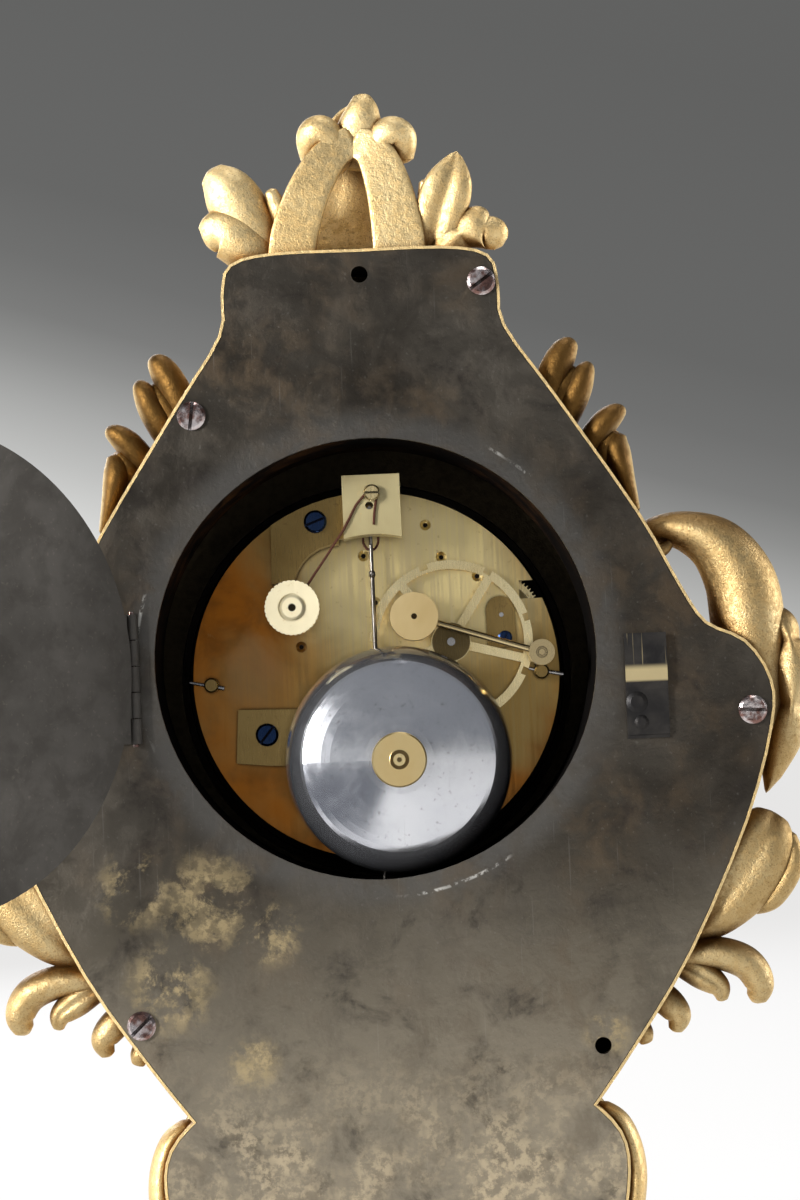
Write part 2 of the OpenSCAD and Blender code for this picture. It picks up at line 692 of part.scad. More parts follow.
// The thread is clamped under the screw's head, goes once over its shank and down to the knob
silk_y = y_block + silk_r + 0.1;
silk_lift = 2 * silk_r + 0.3;
silk_turn = suspension_screw_r + silk_r + 0.2;
silk_path = concat([[-1, silk_y, 39.8], [-1.3, silk_y, 43]],
    [for (a = [210:-42:0]) let (q = suspension_screw_p + polar(silk_turn, a)) [q.x, silk_y, q.y]],
    [[3.4, silk_y, 45.4], [5.4, silk_y, 41.8], [7.6, silk_y, 38], [9.2, silk_y - 1.2, 36],
        [12, silk_y - 4.4, 32.2],
    [15.6, -22.4, 27.6], [18.4, -23.6, 23.6], [20, -24.4, 21.2]]);
loop_y = y_arm + 3;
loop_top = block_p.y - block_h / 2 + block_cut - 0.4;
silk_loop = [[-2, loop_y, loop_top], [-2, loop_y, loop_top - 1.5], [-1.2, loop_y, loop_top - 3],
    [0, loop_y, loop_top - 3.5],
    [1.2, loop_y, loop_top - 3], [2, loop_y, loop_top - 1.5], [2, loop_y, loop_top - 0.3]];
module silk_thread() {
    color("maroon") translate([0, 0, move_z]) {
        tube(smooth(concat(silk_path, [[20.1, -24.4, 20.4]]), 2), silk_r);
        tube(smooth(concat(silk_loop, [[2, loop_y, loop_top]]), 2), silk_r);
    }
}
knob_t = 3.4;
knob_hub_r = 3.1;
y_knob = y_back + 14.4;
module silk_knob() {
    color("khaki") difference() {
        union() {
            rod(rel(knob_p), y_knob, knob_t, knob_r);
            rod(rel(knob_p), y_knob + 0.9, knob_t + 0.9, knob_hub_r - 0.4);
            rod(rel(knob_p), y_knob + 0.5, 1, knob_hub_r);
            rod(rel(knob_p), y_knob - 1, y_knob - y_back_in + 0.6, arbor_r);
            rod(rel(knob_p), y_back_in - gap, 0.8, arbor_r + 0.8);
        }
        rod(rel(knob_p), y_knob + 2, 3.5, 1);
        difference() {
            rod(rel(knob_p), y_knob + 1, 1.5, knob_hub_r + 0.7);
            rod(rel(knob_p), y_knob + 2, 3, knob_hub_r);
        }
        for (a = [0:10:350]) rod(rel(knob_p + polar(knob_r + 0.15, a)), y_knob + 1, knob_t + 2, 0.35);
    }
}

// Bell on its bracket
y_bell_mouth = -25;
bell_post_r = 1.6;
y_bell_top = y_bell_mouth + bell_h;
bell_nut_r = 7.3;
bell_nut_t = 2.8;
module bell_bracket() {
    arm = [[20, -8.5], [38, -8], [39, -22.5], [30, -23.5], [20, -24], [8, -26.5], [-5, -27.2],
        [-8.6, -25.5], [-8.8, -21.5],
        [-5.6, -19.8], [8, -20.5], [18, -18]];
    color("gold") difference() {
        union() {
            slab_at_centre(y_back + bracket_t, bracket_t, arm);
            rod(rel(bell_p), y_bell_top + bell_nut_t - 0.2, y_bell_top + bell_nut_t - 0.2 - y_back,
                bell_post_r);
            rod(rel(bell_p), y_bell_top - bell_wall - 0.3, 2, bell_post_r + 1.6);
        }
        rod(rel(bell_screw_p), 0, 60, cock_screw_r);
    }
}
// Bell profile as radius and height in shares: upright lip, rounded shoulder and a broad, gentle dome
bell_profile = [[1, 0], [0.995, 0.25], [0.975, 0.45], [0.94, 0.61], [0.88, 0.745], [0.8, 0.83],
    [0.6, 0.915], [0.3, 0.98]];
// Open curve moved to its left by d
function shifted(p, d) = let (m = len(p) - 1)
    [for (i = [0:m])
        let (t = p[min(i + 1, m)] - p[max(i - 1, 0)])
        p[i] + d * [-t.y, t.x] / norm(t)];
module bell() {
    top = [bell_post_r, bell_h];
    outer = smooth(concat([for (q = bell_profile) [bell_r * q.x, bell_h * q.y]], [top]), 3);
    inner = shifted(outer, bell_wall);
    color("lightslategray") translate([rel(bell_p).x, y_bell_mouth, rel(bell_p).y]) rotate([-90, 0, 0])
        rotate_extrude($fn = 96)
            polygon(concat(outer, [top, top - [0, bell_wall]], [for (i = [len(inner) - 1:-1:0])
                inner[i]]));
}
module bell_nut() {
    color("darkgoldenrod") translate([rel(bell_p).x, y_bell_top, rel(bell_p).y]) rotate([-90, 0, 0])
        difference() {
        union() {
            cylinder(h = bell_nut_t - 0.4, r = bell_nut_r);
            translate([0, 0, bell_nut_t - 0.4 - eps]) cylinder(h = 0.4 + eps, r1 = bell_nut_r,
                r2 = bell_nut_r - 0.4);
        }
        translate([0, 0, -1]) cylinder(h = 8, r = bell_post_r);
        translate([0, 0, bell_nut_t - 1]) cylinder(h = 2, r = bell_post_r + 0.8);
    }
}

// Wheelwork. Teeth have straight flanks; pinion leaves have radial flanks and rounded-off tips.
wheel_add = 0.95;
wheel_ded = 1.1;
pinion_add = 0.5;
pinion_ded = 1.35;
function wheel_pts(n, m) = let (p = 360 / n, r = m * n / 2)
    [for (i = [0:n - 1]) each [polar(r - wheel_ded * m, (i - 0.21) * p),
        polar(r + wheel_add * m, (i - 0.07) * p),
        polar(r + wheel_add * m, (i + 0.07) * p), polar(r - wheel_ded * m, (i + 0.21) * p)]];
function pinion_pts(n, m, phase) = let (p = 360 / n, r = m * n / 2)
    [for (i = [0:n - 1]) each [polar(r - pinion_ded * m, phase + (i - 0.15) * p),
        polar(r, phase + (i - 0.15) * p),
        polar(r + pinion_add * m, phase + (i - 0.06) * p), polar(r + pinion_add * m, phase + (i + 0.06)
            * p),
        polar(r, phase + (i + 0.15) * p), polar(r - pinion_ded * m, phase + (i + 0.15) * p)]];
// Module of a pair from its centre distance, and the pinion's phase that meets a wheel with a tooth at
// angle 0
function mesh_module(a, b, n_wheel, n_pinion) = 2 * norm(b - a) / (n_wheel + n_pinion);
function mesh_phase(a, b, n_wheel, n_pinion) = let (d = b - a, alpha = atan2(d.y, d.x))
    alpha + 180 + 180 / n_pinion + alpha * n_wheel / n_pinion;
barrel_m = mesh_module(going_barrel_p, inter_p, barrel_n, inter_pinion_n);
inter_m = mesh_module(inter_p, centre_p, inter_n, centre_pinion_n);
centre_m = mesh_module(centre_p, third_p, centre_n, third_pinion_n);
third_m = mesh_module(third_p, escape_p, third_n, escape_pinion_n);
strike_m = mesh_module(strike_barrel_p, second_p, barrel_n, second_pinion_n);
second_m = mesh_module(second_p, pin_p, second_n, pin_pinion_n);
pin_m = mesh_module(pin_p, locking_p, pin_n, locking_pinion_n);
locking_m = mesh_module(locking_p, warning_p, locking_n, warning_pinion_n);
warning_m = mesh_module(warning_p, fly_p, warning_n, fly_pinion_n);
cannon_m = mesh_module(minute_wheel_p, centre_p, minute_n, cannon_n);
hour_m = mesh_module(centre_p, minute_wheel_p, hour_n, minute_pinion_n);

// Toothed wheel at p with crossed-out spokes
module train_wheel(p, y_rear, n, m, spokes, hub) {
    rim = m * n / 2 - wheel_ded * m - 1.5;
    translate([rel(p).x, 0, rel(p).y]) slab(y_rear, wheel_t) difference() {
        polygon(wheel_pts(n, m));
        difference() {
            circle(rim);
            circle(hub);
            for (k = [0:spokes - 1]) rotate(k * 360 / spokes) translate([0, -0.8]) square([rim + 1, 1.6]);
        }
    }
}
// Pinion that meets a wheel in the plane at y_plane
module train_pinion(p, y_plane, n, m, phase) {
    translate([rel(p).x, 0, rel(p).y]) slab(y_plane + (pinion_len - wheel_t) / 2, pinion_len)
        polygon(pinion_pts(n, m, phase));
}
// Arbor between the plates, with a pivot in each
module train_arbor(p, rear_out = -sink_d, r = arbor_r) {
    rod(rel(p), y_back_in - gap, plate_gap - 2 * gap, r);
    rod(rel(p), y_back + rear_out, plate_t + rear_out + 1, pivot_r);
    rod(rel(p), y_front_in + 1, plate_t + 1, pivot_r);
}
barrel_flange = 2;
fine_arbor_r = pivot_r + 0.12;
module barrel(p, m) {
    drum_out = m * barrel_n / 2 - wheel_ded * m - 0.6;
    color("darkgoldenrod") difference() {
        union() {
            translate([rel(p).x, 0, rel(p).y]) slab(y_plane_a, barrel_flange)
                polygon(wheel_pts(barrel_n, m));
            rod(rel(p), y_plane_a - 1, barrel_flange + barrel_len - 1, drum_out);
        }
        rod(rel(p), y_plane_a - barrel_wall, barrel_flange + barrel_len - 2 * barrel_wall,
            drum_out - barrel_wall);
        rod(rel(p), 0, 200, barrel_arbor_r + run_slack);
    }
}
square_w = 3;
module barrel_arbor(p) {
    y_end = y_dial - dial_t - 1.5;
    color("silver") union() {
        rod(rel(p), y_back - 0.2, y_back - 0.2 - y_front + 1.6, barrel_arbor_r);
        rod(rel(p), y_plane_a + 1 + gap, 1, barrel_arbor_r + 1);
        rod(rel(p), y_front - gap, 1.2, 5.5);
        translate([rel(p).x - square_w / 2, y_end, rel(p).y - square_w / 2])
            cube([square_w, y_front - y_end, square_w]);
    }
}
// Mainspring: a flat strip wound in a spiral, hooked to the barrel's wall
spring_turns = 6;
spring_t = 0.5;
module mainspring(p, m) {
    r1 = m * barrel_n / 2 - wheel_ded * m - 0.6 - barrel_wall;
    r0 = barrel_arbor_r + 1.4;
    steps = 16 * spring_turns;
    function radius(i) = r0 + (r1 - spring_t - r0) * i / steps;
    strip = concat([for (i = [0:steps]) polar(radius(i), i * 22.5)],
        [for (i = [steps:-1:0]) polar(radius(i) + spring_t * 0.98, i * 22.5)]);
    color("steelblue") translate([rel(p).x, 0, rel(p).y])
        slab(y_plane_a - barrel_wall - 0.4, barrel_flange + barrel_len - 2 * barrel_wall - 0.8)
            polygon(strip);
}
module going_barrel() { barrel(going_barrel_p, barrel_m); }
module strike_barrel() { barrel(strike_barrel_p, strike_m); }
module going_arbor() { barrel_arbor(going_barrel_p); }
module strike_arbor() { barrel_arbor(strike_barrel_p); }
module going_spring() { mainspring(going_barrel_p, barrel_m); }
module strike_spring() { mainspring(strike_barrel_p, strike_m); }

module intermediate_wheel() {
    color("gold") {
        train_arbor(inter_p);
        train_pinion(inter_p, y_plane_a, inter_pinion_n, barrel_m, mesh_phase(going_barrel_p, inter_p,
            barrel_n, inter_pinion_n));
        train_wheel(inter_p, y_plane_b, inter_n, inter_m, 5, 4);
    }
}
// The centre arbor runs through the front plate and carries the minute hand's cannon
module centre_wheel() {
    color("gold") {
        train_arbor(centre_p);
        rod(rel(centre_p), y_front_in + 1, y_front_in + 1 - y_hand_end, arbor_r);
        train_pinion(centre_p, y_plane_b, centre_pinion_n, inter_m, mesh_phase(inter_p, centre_p, inter_n,
            centre_pinion_n));
        train_wheel(centre_p, y_plane_c, centre_n, centre_m, 5, 4);
    }
}
module third_wheel() {
    color("gold") {
        train_arbor(third_p);
        train_pinion(third_p, y_plane_c, third_pinion_n, centre_m, mesh_phase(centre_p, third_p, centre_n,
            third_pinion_n));
        train_wheel(third_p, y_plane_d, third_n, third_m, 4, 3);
    }
}
escape_r = 8.4;
escape_tooth = 1.3;
module escape_wheel() {
    p = 360 / escape_n;
    color("gold") {
        train_arbor(escape_p, -sink_d, fine_arbor_r);
        train_pinion(escape_p, y_plane_d, escape_pinion_n, third_m, mesh_phase(third_p, escape_p, third_n,
            escape_pinion_n));
        translate([rel(escape_p).x, 0, rel(escape_p).y]) slab(y_plane_escape, wheel_t) difference() {
            polygon([for (i = [0:escape_n - 1]) each [polar(escape_r - escape_tooth, (i - 0.3) * p),
                polar(escape_r, i * p),
                polar(escape_r, (i + 0.08) * p), polar(escape_r - escape_tooth, (i + 0.2) * p)]]);
            difference() {
                circle(escape_r - escape_tooth - 1.2);
                circle(2.2);
                for (k = [0:3]) rotate(k * 90) translate([0, -0.6]) square([escape_r, 1.2]);
            }
        }
    }
}
// Anchor with its pallets, arbor, crutch rod and fork
pallet_gap = 0.6;
crutch_r = 0.5;
y_crutch = y_back + 3.7;
fork_z = 6.5;
pendulum_rod_r = 0.6;
y_pendulum = y_crutch + 1.8;
module anchor_crutch() {
    d = pallet_p - escape_p;
    mid = atan2(d.y, d.x);
    r_in = escape_r + pallet_gap + 0.6;
    bow = concat([for (a = [-62:6.2:62]) polar(r_in, mid + a)], [for (a = [62:-6.2:-62])
        polar(r_in + 1.8, mid + a)]);
    prong = pendulum_rod_r + gap;
    color("silver") union() {
        rod(rel(pallet_p), y_back + 5.4, y_back + 5.4 - y_front_in - gap, arbor_r);
        rod(rel(pallet_p), y_arm, arm_t + 1, pivot_r);
        rod(rel(pallet_p), y_front_in + 1, plate_t + 1, pivot_r);
        rod(rel(pallet_p), y_plane_escape + 0.6, wheel_t + 1.2, 2.2);
        translate([rel(escape_p).x, 0, rel(escape_p).y]) slab(y_plane_escape, wheel_t) {
            polygon(bow);
            for (s = [-1, 1]) polygon([polar(r_in - 0.6, mid + s * 62), polar(r_in + 1.8, mid + s * 62),
                polar(r_in + 1.8, mid + s * 56), polar(r_in + 0.1, mid + s * 54)]);
        }
        rod(rel(pallet_p), y_crutch + 1.6, 3.4, 2);
        translate([rel(pallet_p).x, y_crutch, move_z + fork_z]) cylinder(h = pallet_p.y - fork_z,
            r = crutch_r);
        translate([rel(pallet_p).x - prong - 0.6, y_crutch - 0.5, move_z + fork_z - 0.5])
            cube([2 * prong + 1.2, 1, 1]);
        for (s = [-1, 1]) translate([rel(pallet_p).x + s * (prong + 0.3) - 0.3, y_crutch - 0.5,
            move_z + fork_z - 0.5])
            cube([0.6, 0.5 + 1.8 + pendulum_rod_r + 0.6, 1]);
    }
}
// Pendulum: a hook in the silk loop, a rod that steps forward past the bell, a lens-shaped bob and its
// nut
hook_z = 34.6;
hook_half = 1.6;
bob_t = 7;
module pendulum() {
    z_bob = pallet_p.y - pendulum_len;
    z_step = 27;
    color("silver") translate([rel(pallet_p).x, 0, move_z]) {
        translate([0, loop_y + hook_half, hook_z]) rotate([90, 0, 0]) cylinder(h = 2 * hook_half,
            r = 0.5);
        translate([0, loop_y + hook_half, z_step]) cylinder(h = hook_z - z_step, r = 0.5);
        translate([0, loop_y - hook_half, hook_z - 5]) cylinder(h = 5, r = 0.5);
        translate([0, loop_y + hook_half, z_step]) sphere(0.9);
        translate([0, y_pendulum, z_step]) rotate([-90, 0, 0])
            cylinder(h = loop_y + hook_half - y_pendulum, r = 0.6);
        translate([0, y_pendulum, z_bob - bob_r - 9]) cylinder(h = z_step - z_bob + bob_r + 9,
            r = pendulum_rod_r);
        translate([0, y_pendulum, z_step]) sphere(0.9);
        translate([0, y_pendulum, z_bob]) rotate([90, 0, 0]) rotate_extrude()
            polygon([[0, -bob_t / 2], [bob_r * 0.5, -bob_t * 0.42],
            [bob_r * 0.85, -bob_t * 0.22], [bob_r, -0.6], [bob_r, 0.6], [bob_r * 0.85, bob_t * 0.22],
                [bob_r * 0.5, bob_t * 0.42],
            [0, bob_t / 2]]);
        translate([0, y_pendulum, z_bob - bob_r - 6]) cylinder(h = 2.5, r = 3);
    }
}

// Striking: the second wheel's arbor runs out through the back plate to the count wheel
count_t = 1;
y_count = y_back + 2.8;
module second_wheel() {
    color("gold") {
        train_arbor(second_p);
        rod(rel(second_p), y_count + 1.4, y_count + 1.4 - y_back_in + 1, arbor_r);
        train_pinion(second_p, y_plane_a, second_pinion_n, strike_m, mesh_phase(strike_barrel_p, second_p,
            barrel_n, second_pinion_n));
        train_wheel(second_p, y_plane_b, second_n, second_m, 4, 3.5);
    }
}
// Count wheel: one notch after each hour's blows and each half hour's, 90 blows to a turn
count_rim = 2.4;
count_hub = 5.4;
count_spokes = 5;
notch_d = 1.5;
notch_w = 2.1;
function blows_before(h) = h * (h + 1) / 2 + h;
module count_wheel() {
    color("darkkhaki") translate([rel(second_p).x, 0, rel(second_p).y]) slab(y_count, count_t)
        difference() {
        circle(count_r, $fn = 96);
        difference() {
            circle(count_r - count_rim, $fn = 96);
            circle(count_hub);
            for (k = [0:count_spokes - 1]) rotate(195 - k * 72) translate([0, -1.2])
                square([count_r - 1, 2.4]);
        }
        for (h = [1:12]) rotate(20 - blows_before(h) * 4) translate([count_r - notch_d, -notch_w / 2])
            square([notch_d + 1, notch_w]);
        circle(arbor_r);
    }
}
strike_pins = 8;
module pin_wheel() {
    color("gold") {
        train_arbor(pin_p, strike_cock_t, fine_arbor_r);
        train_pinion(pin_p, y_plane_b, pin_pinion_n, second_m, mesh_phase(second_p, pin_p, second_n,
            pin_pinion_n));
        train_wheel(pin_p, y_plane_c, pin_n, pin_m, 4, 3);
        for (k = [0:strike_pins - 1])
            rod(rel(pin_p + polar(pin_m * pin_n / 2 - 1.1, k * 360 / strike_pins + 10)), y_plane_c + 2,
                2.5, 0.4);
    }
}
module locking_wheel() {
    color("gold") {
        train_arbor(locking_p, -sink_d, fine_arbor_r);
        train_pinion(locking_p, y_plane_c, locking_pinion_n, pin_m, mesh_phase(pin_p, locking_p, pin_n,
            locking_pinion_n));
        train_wheel(locking_p, y_plane_lock, locking_n, locking_m, 4, 2.6);
        rod(rel(locking_p + [7.4, 0]), y_plane_lock + 1.6, 2, 0.4);
    }
}
module warning_wheel() {
    color("gold") {
        train_arbor(warning_p, -sink_d, fine_arbor_r);
        train_pinion(warning_p, y_plane_lock, warning_pinion_n, locking_m,
            mesh_phase(locking_p, warning_p, locking_n, warning_pinion_n));
        train_wheel(warning_p, y_plane_warn, warning_n, warning_m, 4, 2.4);
        rod(rel(warning_p + [0, 6.1]), y_plane_warn + 1.6, 2, 0.4);
    }
}
fly_w = 11;
fly_len = 14;
module fly() {
    color("gold") {
        train_arbor(fly_p, -sink_d, fine_arbor_r);
        train_pinion(fly_p, y_plane_warn, fly_pinion_n, warning_m, mesh_phase(warning_p, fly_p, warning_n,
            fly_pinion_n));
        translate([rel(fly_p).x - fly_w / 2, y_plane_c - fly_len, rel(fly_p).y - 0.3])
            cube([fly_w, fly_len, 0.6]);
        rod(rel(fly_p), y_plane_c, fly_len, 1.8);
    }
}
// Hammer: arbor between the plates, collet behind, springy arm and drum-shaped head
hammer_head_p = [-10.8, 15.1];
hammer_d = 6;
y_hammer = -21;
hammer_arm_r = 0.9;
module hammer() {
    v = hammer_head_p - hammer_p;
    a = atan2(v.y, v.x);
    y_arm_mid = y_hammer - hammer_d / 2;
    color("tan") difference() {
        hammer_body(v, a, y_arm_mid);
        rod(rel(hammer_head_p), y_hammer + 1, 3, 0.8);
        difference() {
            rod(rel(hammer_p), y_hammer + 1, 1.6, 1.6);
            rod(rel(hammer_p), y_hammer + 2, 4, 0.8);
        }
    }
}
module hammer_body(v, a, y_arm_mid) {
    union() {
        rod(rel(hammer_p), y_hammer, y_hammer - y_front_in - gap, arbor_r);
        rod(rel(hammer_p), y_front_in + 1, plate_t + 1, pivot_r);
        rod(rel(hammer_p), y_hammer, y_hammer - y_back - tenon_out - 0.6, 3.5);
        rod(rel(hammer_head_p), y_hammer, hammer_d, hammer_r);
        translate([rel(hammer_p).x, y_arm_mid, rel(hammer_p).y]) rotate([0, -a, 0]) rotate([0, 90, 0])
            cylinder(h = norm(v), r = hammer_arm_r);
        translate([rel(hammer_p).x, y_plane_c + 1.8, rel(hammer_p).y]) rotate([90, 0, 0])
            cylinder(h = 3, r = 1.8);
    }
}

// Dial pan: a flange on the case front, a wall and a face that carries the enamel dial
pan_r = dial_open_r - 1;
pan_t = 0.8;
pan_flange_r = dial_open_r + 4;
hour_pipe_r = 3.4;
dial_hole_r = hour_pipe_r + 0.8;
wind_hole_r = 3.2;
dial_foot_r = 1.3;
dial_foot_pts = [[0, -38], [38, 22], [-33, 36.5]];
module dial_plate() {
    color("darkgoldenrod") difference() {
        union() {
            rod(move_c, y_case_front, pan_t, pan_flange_r);
            rod(move_c, y_case_front, y_case_front - y_dial, pan_r);
            for (p = dial_foot_pts) rod(rel(p), y_front_in, y_front_in - y_dial, dial_foot_r);
        }
        difference() {
            rod(move_c, y_case_front + 1, y_case_front + 1 - y_dial - pan_t, pan_r - pan_t);
            for (p = dial_foot_pts) rod(rel(p), 0, 200, dial_foot_r);
        }
        rod(move_c, 0, 200, dial_hole_r);
        for (p = [going_barrel_p, strike_barrel_p]) rod(rel(p), 0, 200, wind_hole_r);
    }
}
module dial() {
    color("ivory") difference() {
        rod(move_c, y_dial, dial_t, pan_r - 0.6);
        rod(move_c, 0, 200, dial_hole_r);
        for (p = [going_barrel_p, strike_barrel_p]) rod(rel(p), 0, 200, wind_hole_r);
    }
}

// Motion work and hands, in front of the front plate
y_motion = y_front - 1.4;
motion_t = 1.4;
y_hour_wheel = y_motion - motion_t - 0.8;
y_hour_hand = y_dial - dial_t - 1.6;
y_minute_hand = y_hour_hand - 2.2;
hand_t = 0.8;
y_hand_end = y_minute_hand - hand_t - 2.4;
cannon_r = 1.9;
// Pierced hand in the dial plane: boss, stem, ring and leaf-shaped point
function hand_half(length, boss, ring, width) = concat(
    [[0, length], [width * 0.5, length * 0.9], [width * 1.3, length * 0.78]],
    [for (a = [70:-10:-70]) [0, length * 0.55] + polar(ring, a)],
    [for (a = [70:-10:-90]) polar(boss, a)]);
module hand(length, boss, ring, width, bore) {
    difference() {
        polygon(mirrored(hand_half(length, boss, ring, width)));
        translate([0, length * 0.55]) circle(ring * 0.6);
        circle(bore);
    }
}
module minute_hand() {
    phase = mesh_phase(minute_wheel_p, centre_p, minute_n, cannon_n);
    color("gold") difference() {
        union() {
            translate([0, 0, move_z]) slab(y_motion + 0.6, motion_t + 1)
                polygon(pinion_pts(cannon_n, cannon_m, phase));
            rod(move_c, y_motion, y_motion - y_minute_hand + hand_t, cannon_r);
            translate([0, 0, move_z]) slab(y_minute_hand, hand_t) hand(minute_len, 4, 3.6, 1.3, arbor_r);
        }
        rod(move_c, 0, 200, arbor_r);
    }
}
module hand_nut() {
    color("gold") difference() {
        union() {
            rod(move_c, y_minute_hand - hand_t, 0.7, 3);
            rod(move_c, y_minute_hand - hand_t, 2, 2.2, 1.7);
        }
        rod(move_c, 0, 200, arbor_r);
    }
}
module minute_wheel() {
    color("gold") {
        translate([rel(minute_wheel_p).x, 0, rel(minute_wheel_p).y]) difference() {
            union() {
                slab(y_motion, motion_t) polygon(wheel_pts(minute_n, cannon_m));
                slab(y_motion - motion_t + eps, 2.8) polygon(pinion_pts(minute_pinion_n, hour_m,
                    mesh_phase(centre_p, minute_wheel_p, hour_n, minute_pinion_n)));
            }
            rod([0, 0], 0, 200, pivot_r + run_slack);
        }
    }
}
// Stud that carries the minute wheel, riveted in the front plate
module minute_stud() {
    rod(rel(minute_wheel_p), y_front + 1, 6.8, pivot_r);
    rod(rel(minute_wheel_p), y_front + eps, 1, 1.6);
}
module hour_wheel() {
    color("gold") difference() {
        union() {
            translate([0, 0, move_z]) slab(y_hour_wheel, 1.4) polygon(wheel_pts(hour_n, hour_m));
            rod(move_c, y_hour_wheel, y_hour_wheel - y_hour_hand + hand_t, hour_pipe_r);
        }
        rod(move_c, 0, 200, cannon_r + run_slack);
    }
}
module hour_hand() {
    color("gold") translate([0, 0, move_z]) slab(y_hour_hand, hand_t) rotate(60)
        hand(hour_len, 5.2, 4, 1.5, hour_pipe_r);
}

// Glazed bezel on a hinge at the side of the dial
bezel_d = 15;
bezel_in_r = pan_r + 1.5;
y_bezel = y_case_front - pan_t - gap;
bezel_hinge_x = bezel_r + knuckle_r + gap;
bezel_hinge_y = y_case_front - knuckle_r - gap - 0.4;
bezel_hinge_len = 18;
module bezel_ring() {
    color("gold") difference() {
        union() {
            translate([0, y_bezel, move_z]) rotate([90, 0, 0]) rotate_extrude($fn = 96)
                polygon([[bezel_in_r, 0], [bezel_r - 0.6, 0], [bezel_r, 0.8], [bezel_r, 3],
                    [bezel_r - 2, 4.6], [bezel_r - 1.6, 7],
                    [bezel_r - 3.2, 11], [bezel_r - 6, bezel_d - 0.6], [bezel_in_r, bezel_d],
                        [bezel_in_r - 2, bezel_d - 0.6],
                    [bezel_in_r - 2, bezel_d - 2.2], [bezel_in_r, bezel_d - 2.4]]);
            translate([bezel_hinge_x, bezel_hinge_y, move_z - bezel_hinge_len / 6 + 0.15]) {
                cylinder(h = bezel_hinge_len / 3 - gap, r = knuckle_r);
                translate([-knuckle_r - 2.2, -1.2, 0])
                    cube([knuckle_r + 2.2, 1.6, bezel_hinge_len / 3 - gap]);
            }
        }
        translate([bezel_hinge_x, bezel_hinge_y, move_z - 20]) cylinder(h = 40,
            r = hinge_pin_r + run_slack);
    }
}
// Domed glass, sprung into the bezel from behind
glass_rise = 5;
module bezel_glass() {
    w = bezel_in_r - 0.05;
    ball = (w * w + glass_rise * glass_rise) / (2 * glass_rise);
    y_seat = y_bezel - bezel_d + 2.4;
    color("lightcyan") translate([0, y_seat + ball - glass_rise, move_z]) rotate([90, 0, 0])
        rotate_extrude($fn = 96)
        polygon(concat([for (k = [0:8]) let (a = asin((w - 2.2) / ball) * k / 8) (ball - 0.4)
            * [sin(a), cos(a)]],
            [for (k = [8:-1:0]) let (a = asin((w - 2.2) / ball) * k / 8) (ball - 0.4 - glass_t)
                * [sin(a), cos(a)]]));
}
module bezel_hinge() {
    color("gold") {
        for (s = [-1, 1]) translate([bezel_hinge_x, 0, move_z + s * bezel_hinge_len / 3
            - bezel_hinge_len / 6 + 0.15]) {
            translate([0, bezel_hinge_y, 0]) cylinder(h = bezel_hinge_len / 3 - gap, r = knuckle_r);
            translate([-knuckle_r, bezel_hinge_y, 0])
                cube([2 * knuckle_r, y_case_front - bezel_hinge_y, bezel_hinge_len / 3 - gap]);
        }
        translate([bezel_hinge_x, bezel_hinge_y, move_z - bezel_hinge_len / 2])
            cylinder(h = bezel_hinge_len, r = hinge_pin_r);
    }
}

case_shell();
back_panel();
panel_screws();
dust_drum();
crown();
shoulder_leaves();
side_scrolls();
lower_leaves();
lower_scrolls();
base_leaf();
case_hinge_leaf();
door_hinge_pin();
rear_door();
door_hinge_leaf();
door_rivets();
catch_base();
catch_rivets();
catch_spring();
back_plate();
front_plate();
pillars();
pillar_pins();
pallet_cock();
strike_cock();
movement_screws();
suspension_block();
silk_thread();
silk_knob();
bell_bracket();
bell();
bell_nut();
going_barrel();
going_arbor();
going_spring();
intermediate_wheel();
centre_wheel();
third_wheel();
escape_wheel();
anchor_crutch();
pendulum();
strike_barrel();
strike_arbor();
strike_spring();
second_wheel();
count_wheel();
pin_wheel();
locking_wheel();
warning_wheel();
fly();
hammer();
dial_plate();
dial();
minute_hand();
hand_nut();
minute_wheel();
hour_wheel();
hour_hand();
bezel_ring();
bezel_glass();
bezel_hinge();
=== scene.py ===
import math

import bpy
import numpy as np
from mathutils import Matrix, Vector


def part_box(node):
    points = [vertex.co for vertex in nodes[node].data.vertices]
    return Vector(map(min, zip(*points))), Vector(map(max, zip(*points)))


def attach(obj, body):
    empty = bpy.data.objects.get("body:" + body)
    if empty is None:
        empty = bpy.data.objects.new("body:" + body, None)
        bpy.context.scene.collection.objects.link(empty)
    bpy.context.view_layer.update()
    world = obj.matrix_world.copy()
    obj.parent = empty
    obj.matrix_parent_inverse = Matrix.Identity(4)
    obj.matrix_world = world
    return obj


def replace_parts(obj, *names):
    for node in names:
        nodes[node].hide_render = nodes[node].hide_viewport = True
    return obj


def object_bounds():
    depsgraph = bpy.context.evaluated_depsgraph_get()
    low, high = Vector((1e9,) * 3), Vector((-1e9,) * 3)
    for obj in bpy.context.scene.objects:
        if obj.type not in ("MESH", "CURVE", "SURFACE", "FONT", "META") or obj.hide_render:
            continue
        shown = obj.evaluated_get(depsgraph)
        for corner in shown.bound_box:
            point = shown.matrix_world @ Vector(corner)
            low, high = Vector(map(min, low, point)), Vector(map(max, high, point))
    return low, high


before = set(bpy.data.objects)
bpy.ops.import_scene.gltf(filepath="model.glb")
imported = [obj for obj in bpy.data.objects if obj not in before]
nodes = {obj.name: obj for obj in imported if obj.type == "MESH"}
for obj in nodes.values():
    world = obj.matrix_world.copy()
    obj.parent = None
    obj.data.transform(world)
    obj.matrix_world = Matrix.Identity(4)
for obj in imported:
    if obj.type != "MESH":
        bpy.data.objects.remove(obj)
cad_low, cad_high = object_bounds()
scene = bpy.context.scene
scene.view_settings.view_transform = "Standard"
MM = 0.001


